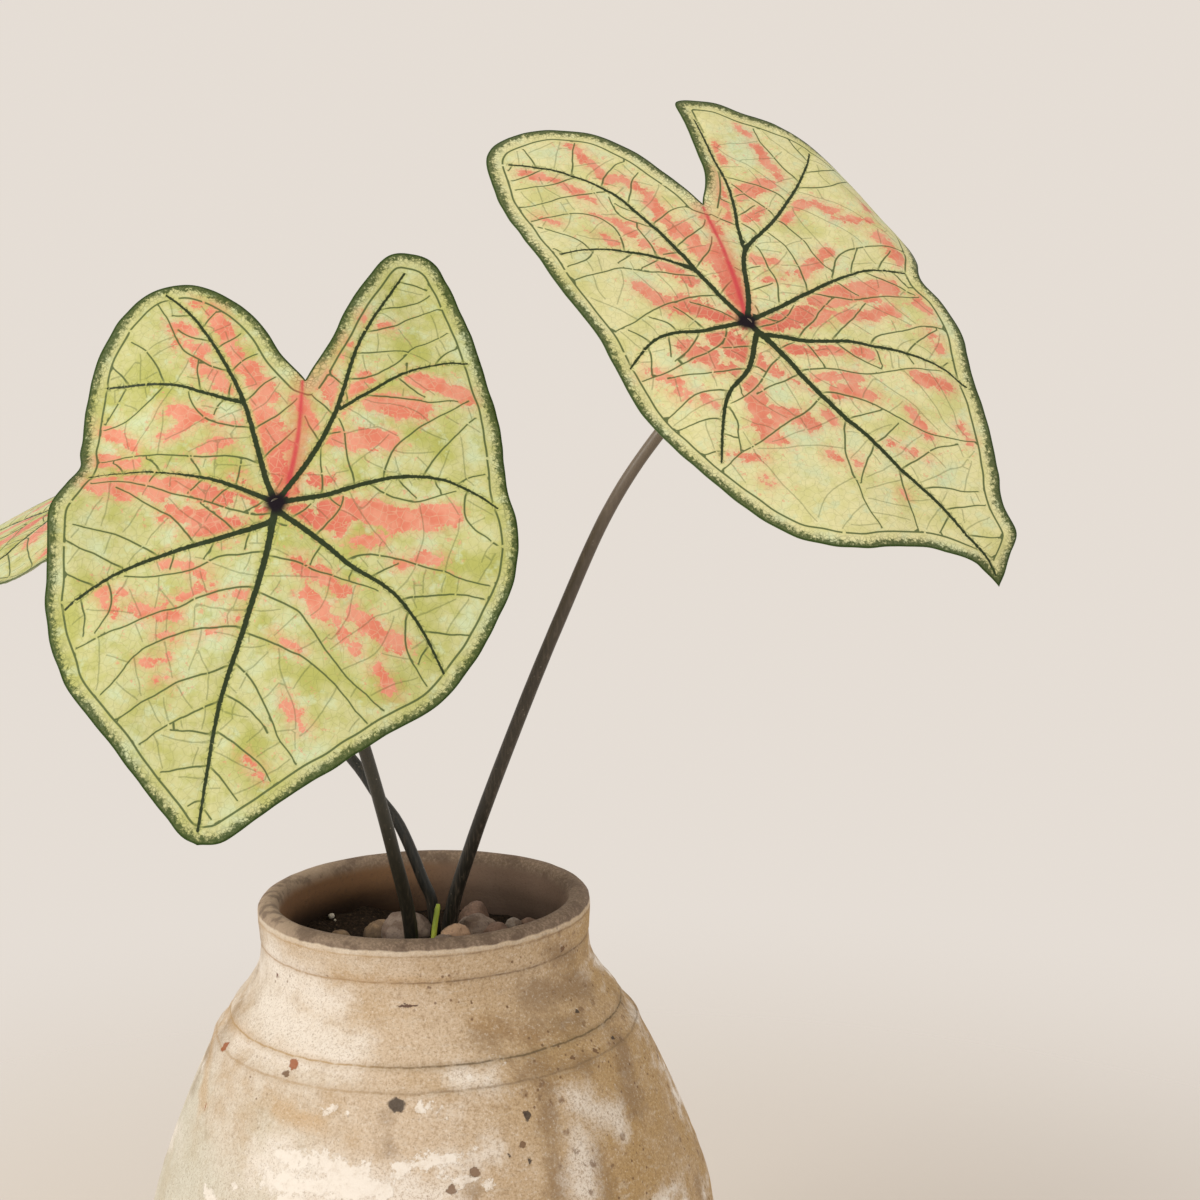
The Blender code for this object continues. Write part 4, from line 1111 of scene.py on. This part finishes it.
# Colours of the ten that show over the lip; the rest take them in turn
MAUVE = (0.25, 0.190, 0.155)
TAN_STONE = (0.46, 0.30, 0.20)
BUFF = (0.32, 0.215, 0.125)
GREY = (0.27, 0.225, 0.19)
BROWN_STONE = (0.20, 0.125, 0.092)
PEBBLE_TONES = [MAUVE, BUFF, BUFF, TAN_STONE, GREY, BROWN_STONE, MAUVE, BROWN_STONE, GREY,
                BROWN_STONE]


def make_pebbles():
    """Worn stones of several colours, each a turned and dented ball, half sunk in the soil."""
    verts, faces, tones = [], [], []
    ball_points, ball_faces = round_ball(5, 1)
    for index, (x, y, height, radius, flatten) in enumerate(PEBBLES):
        rng = random.Random(index)
        stretch = rng.uniform(*PEBBLE_STRETCH)
        tilt = [rng.uniform(-PEBBLE_TILT, PEBBLE_TILT) for _ in range(2)]
        turn = Vector((*tilt, 1)).to_track_quat("Z", "X").to_matrix()
        faces += [tuple(len(verts) + corner for corner in face) for face in ball_faces]
        for point in ball_points:
            worn = point * (1 + sum(depth * noise.noise(point * fineness + Vector(shift) * index)
                                    for depth, fineness, shift in PEBBLE_DENTS))
            shaped = (worn.x * radius * stretch, worn.y * radius, worn.z * radius * flatten)
            verts.append(tuple(turn @ Vector(shaped) + Vector((x, y, height))))
        tones += [PEBBLE_TONES[index % len(PEBBLE_TONES)]] * len(ball_points)
    new_piece("pebble_dressing", verts, faces, pebble_material(), ["pebbles"], "pebble",
              {"tone": tones})


def pebble_material():
    paint = Paint("pebble", 0.75, 0.3)
    step, grain = paint.step, paint.noise(0.9, 4, 0.7)
    color = paint.over(paint.attribute("tone", "Vector"),
                       (PEBBLE_CLOUD, step(paint.noise(6, 3), 0.46, 0.60), 0.60),
                       (PEBBLE_PIT, step(grain, 0.5, 0.72), 0.55),
                       (PEBBLE_DUST, step(grain, 0.42, 0.28), 0.35),
                       # Each stone darkens low down: painted shade where it meets the soil and its
                       # neighbours
                       (PEBBLE_FOOT_SHADE, step(paint.axes()["Z"], 0.2835, 0.2750), 0.75))
    return paint.finish(color, (grain, 0.6, 0.8))


def make_soil():
    """Dark crumbly soil that fills the jar up to the neck."""
    wall = smooth_route(JAR_INSIDE, 34)
    radii, heights = np.array(wall[::-1]).T
    top_radius = float(np.interp(SOIL_TOP, heights, radii)) - SOIL_WALL_GAP
    profile = [*((top_radius * k / SOIL_RINGS, SOIL_TOP) for k in range(SOIL_RINGS + 1)),
               *((radius - SOIL_WALL_GAP, height) for radius, height in wall
                 if height < SOIL_TOP - 1),
               (FLOOR_RADIUS - SOIL_WALL_GAP, FLOOR_THICKNESS + SOIL_GAP),
               (0, FLOOR_THICKNESS + SOIL_GAP)]

    def crumbled(radius, height, angle, _):
        if height < SOIL_TOP - 0.01:
            return radius, height
        x, y = math.cos(angle) * radius, math.sin(angle) * radius
        lumps = sum(lump * noise.noise((x / size, y / size, layer))
                    for lump, size, layer in SOIL_LUMPS)
        heap = SOIL_HEAP * float(ease(radius, 38, 60) * ease(x, -15, -35))
        return radius, height + SOIL_RAISED + lumps + heap

    paint = Paint("soil", 0.95, 0.15)
    crumb = paint.noise(1.4, 5, 0.75)
    color = paint.over(SOIL_DARK, (SOIL_LIGHT, paint.step(crumb, 0.4, 0.7)),
                       (SOIL_CRUMB, paint.step(paint.cells(3.4), 0.2, 0.08), 0.5))
    new_piece("potting_soil", *turned_grid(profile, SOIL_SEGMENTS, crumbled),
              paint.finish(color, (crumb, 1.2, 0.8)), ["soil"], "soil")


# White grains on the bare soil: place and radius
PERLITE = [(-45.5, 38.2, 279.2, 1.5), (-43.5, 35, 278.2, 0.6), (-52, 18, 278.2, 0.8),
           (-55, 4, 278.8, 1.1), (-57, -12, 279, 0.9)]
PERLITE_WHITE = (0.70, 0.67, 0.60)
PERLITE_GREY = (0.50, 0.46, 0.40)


def make_perlite():
    rng = random.Random(4)
    verts, faces = [], []
    for *place, size in PERLITE:
        points, triangles = round_ball(2, size)
        faces += [tuple(len(verts) + corner for corner in face) for face in triangles]
        verts += [tuple(point * rng.uniform(0.8, 1.1) + Vector(place)) for point in points]
    paint = Paint("perlite", 0.9, 0.2)
    color = paint.over(PERLITE_WHITE, (PERLITE_GREY, paint.step(paint.noise(0.8), 0.4, 0.6)))
    new_piece("perlite_grains", verts, faces, paint.finish(color, (paint.noise(0.5), 0.2, 1)), [],
              "soil")


TUBER_LIGHT = (0.16, 0.09, 0.05)
TUBER_DARK = (0.08, 0.045, 0.026)


def finish_tuber():
    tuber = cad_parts["tuber"]
    paint = Paint("tuber", 0.85, 0.2)
    bark = paint.noise(5, 4, 0.6, paint.stretched(1, 1, 2.2))
    color = paint.over(TUBER_LIGHT, (TUBER_DARK, paint.step(bark, 0.4, 0.65)))
    tuber.data.materials.clear()
    tuber.data.materials.append(paint.finish(color, (bark, 0.8, 1)))


# Stage

BACKDROP = (0.785, 0.725, 0.665)
FLOOR_COLOR = (0.72, 0.67, 0.61)
FLOOR_RADII = (0, 300, 700, 1600)
FLOOR_SEGMENTS = 64
FLOOR_DROP = 0.0005
LIGHT_AIM = (0.0, 0.0, 0.35)


def make_floor():
    """A pale disc that fades into the backdrop colour all round."""
    paint = Paint("floor", 0.9, 0.1)
    away = paint.vector("LENGTH", paint.stretched(1, 1, 0))
    material = paint.finish(FLOOR_COLOR, Alpha=paint.step(away, 1, 0.25))
    disc = turned_grid([(radius, 0) for radius in FLOOR_RADII], FLOOR_SEGMENTS)
    floor = mesh_object("floor", *disc, material)
    floor.location.z = -FLOOR_DROP


def area_light(name, place, size, power, color):
    light = bpy.data.lights.new(name, "AREA")
    light.shape = "DISK"
    light.size = size
    light.energy = power
    light.color = color
    lamp = add_object(name, light)
    lamp.location = place
    lamp.rotation_euler = (Vector(LIGHT_AIM) - Vector(place)).to_track_quat("-Z", "Y").to_euler()


def make_light():
    scene = bpy.context.scene
    scene.view_settings.view_transform = "Standard"
    world = bpy.data.worlds.new("studio")
    world.use_nodes = True
    world.node_tree.nodes["Background"].inputs["Color"].default_value = (*BACKDROP, 1.0)
    scene.world = world
    area_light("key", (-1.5, -1.3, 1.5), 1.1, 26, (1.0, 0.97, 0.92))
    area_light("fill", (1.6, -1.6, 0.9), 1.6, 4, (1.0, 0.98, 0.96))


def make_camera():
    down, roll = math.radians(CAMERA_DOWN), math.radians(CAMERA_ROLL)
    ahead = Vector((0, math.cos(down), -math.sin(down)))
    right = Vector((1, 0, 0))
    up = right.cross(ahead)
    side = math.cos(roll) * right - math.sin(roll) * up
    top = math.sin(roll) * right + math.cos(roll) * up
    camera = add_object("camera", bpy.data.cameras.new("camera"))
    camera.data.lens = CAMERA_LENS
    camera.data.sensor_width = SENSOR_WIDTH
    rows = [(side[k], top[k], -ahead[k], CAMERA_PLACE[k] * MM) for k in range(3)]
    camera.matrix_world = Matrix([*rows, (0, 0, 0, 1)])
    bpy.context.scene.camera = camera


make_camera()
make_light()
make_floor()
make_jar()
make_soil()
make_perlite()
make_pebbles()
finish_tuber()
for leaf_name in LEAVES:
    make_stem(leaf_name)
    make_blade(leaf_name)
make_shoot()

bpy.context.view_layer.update()
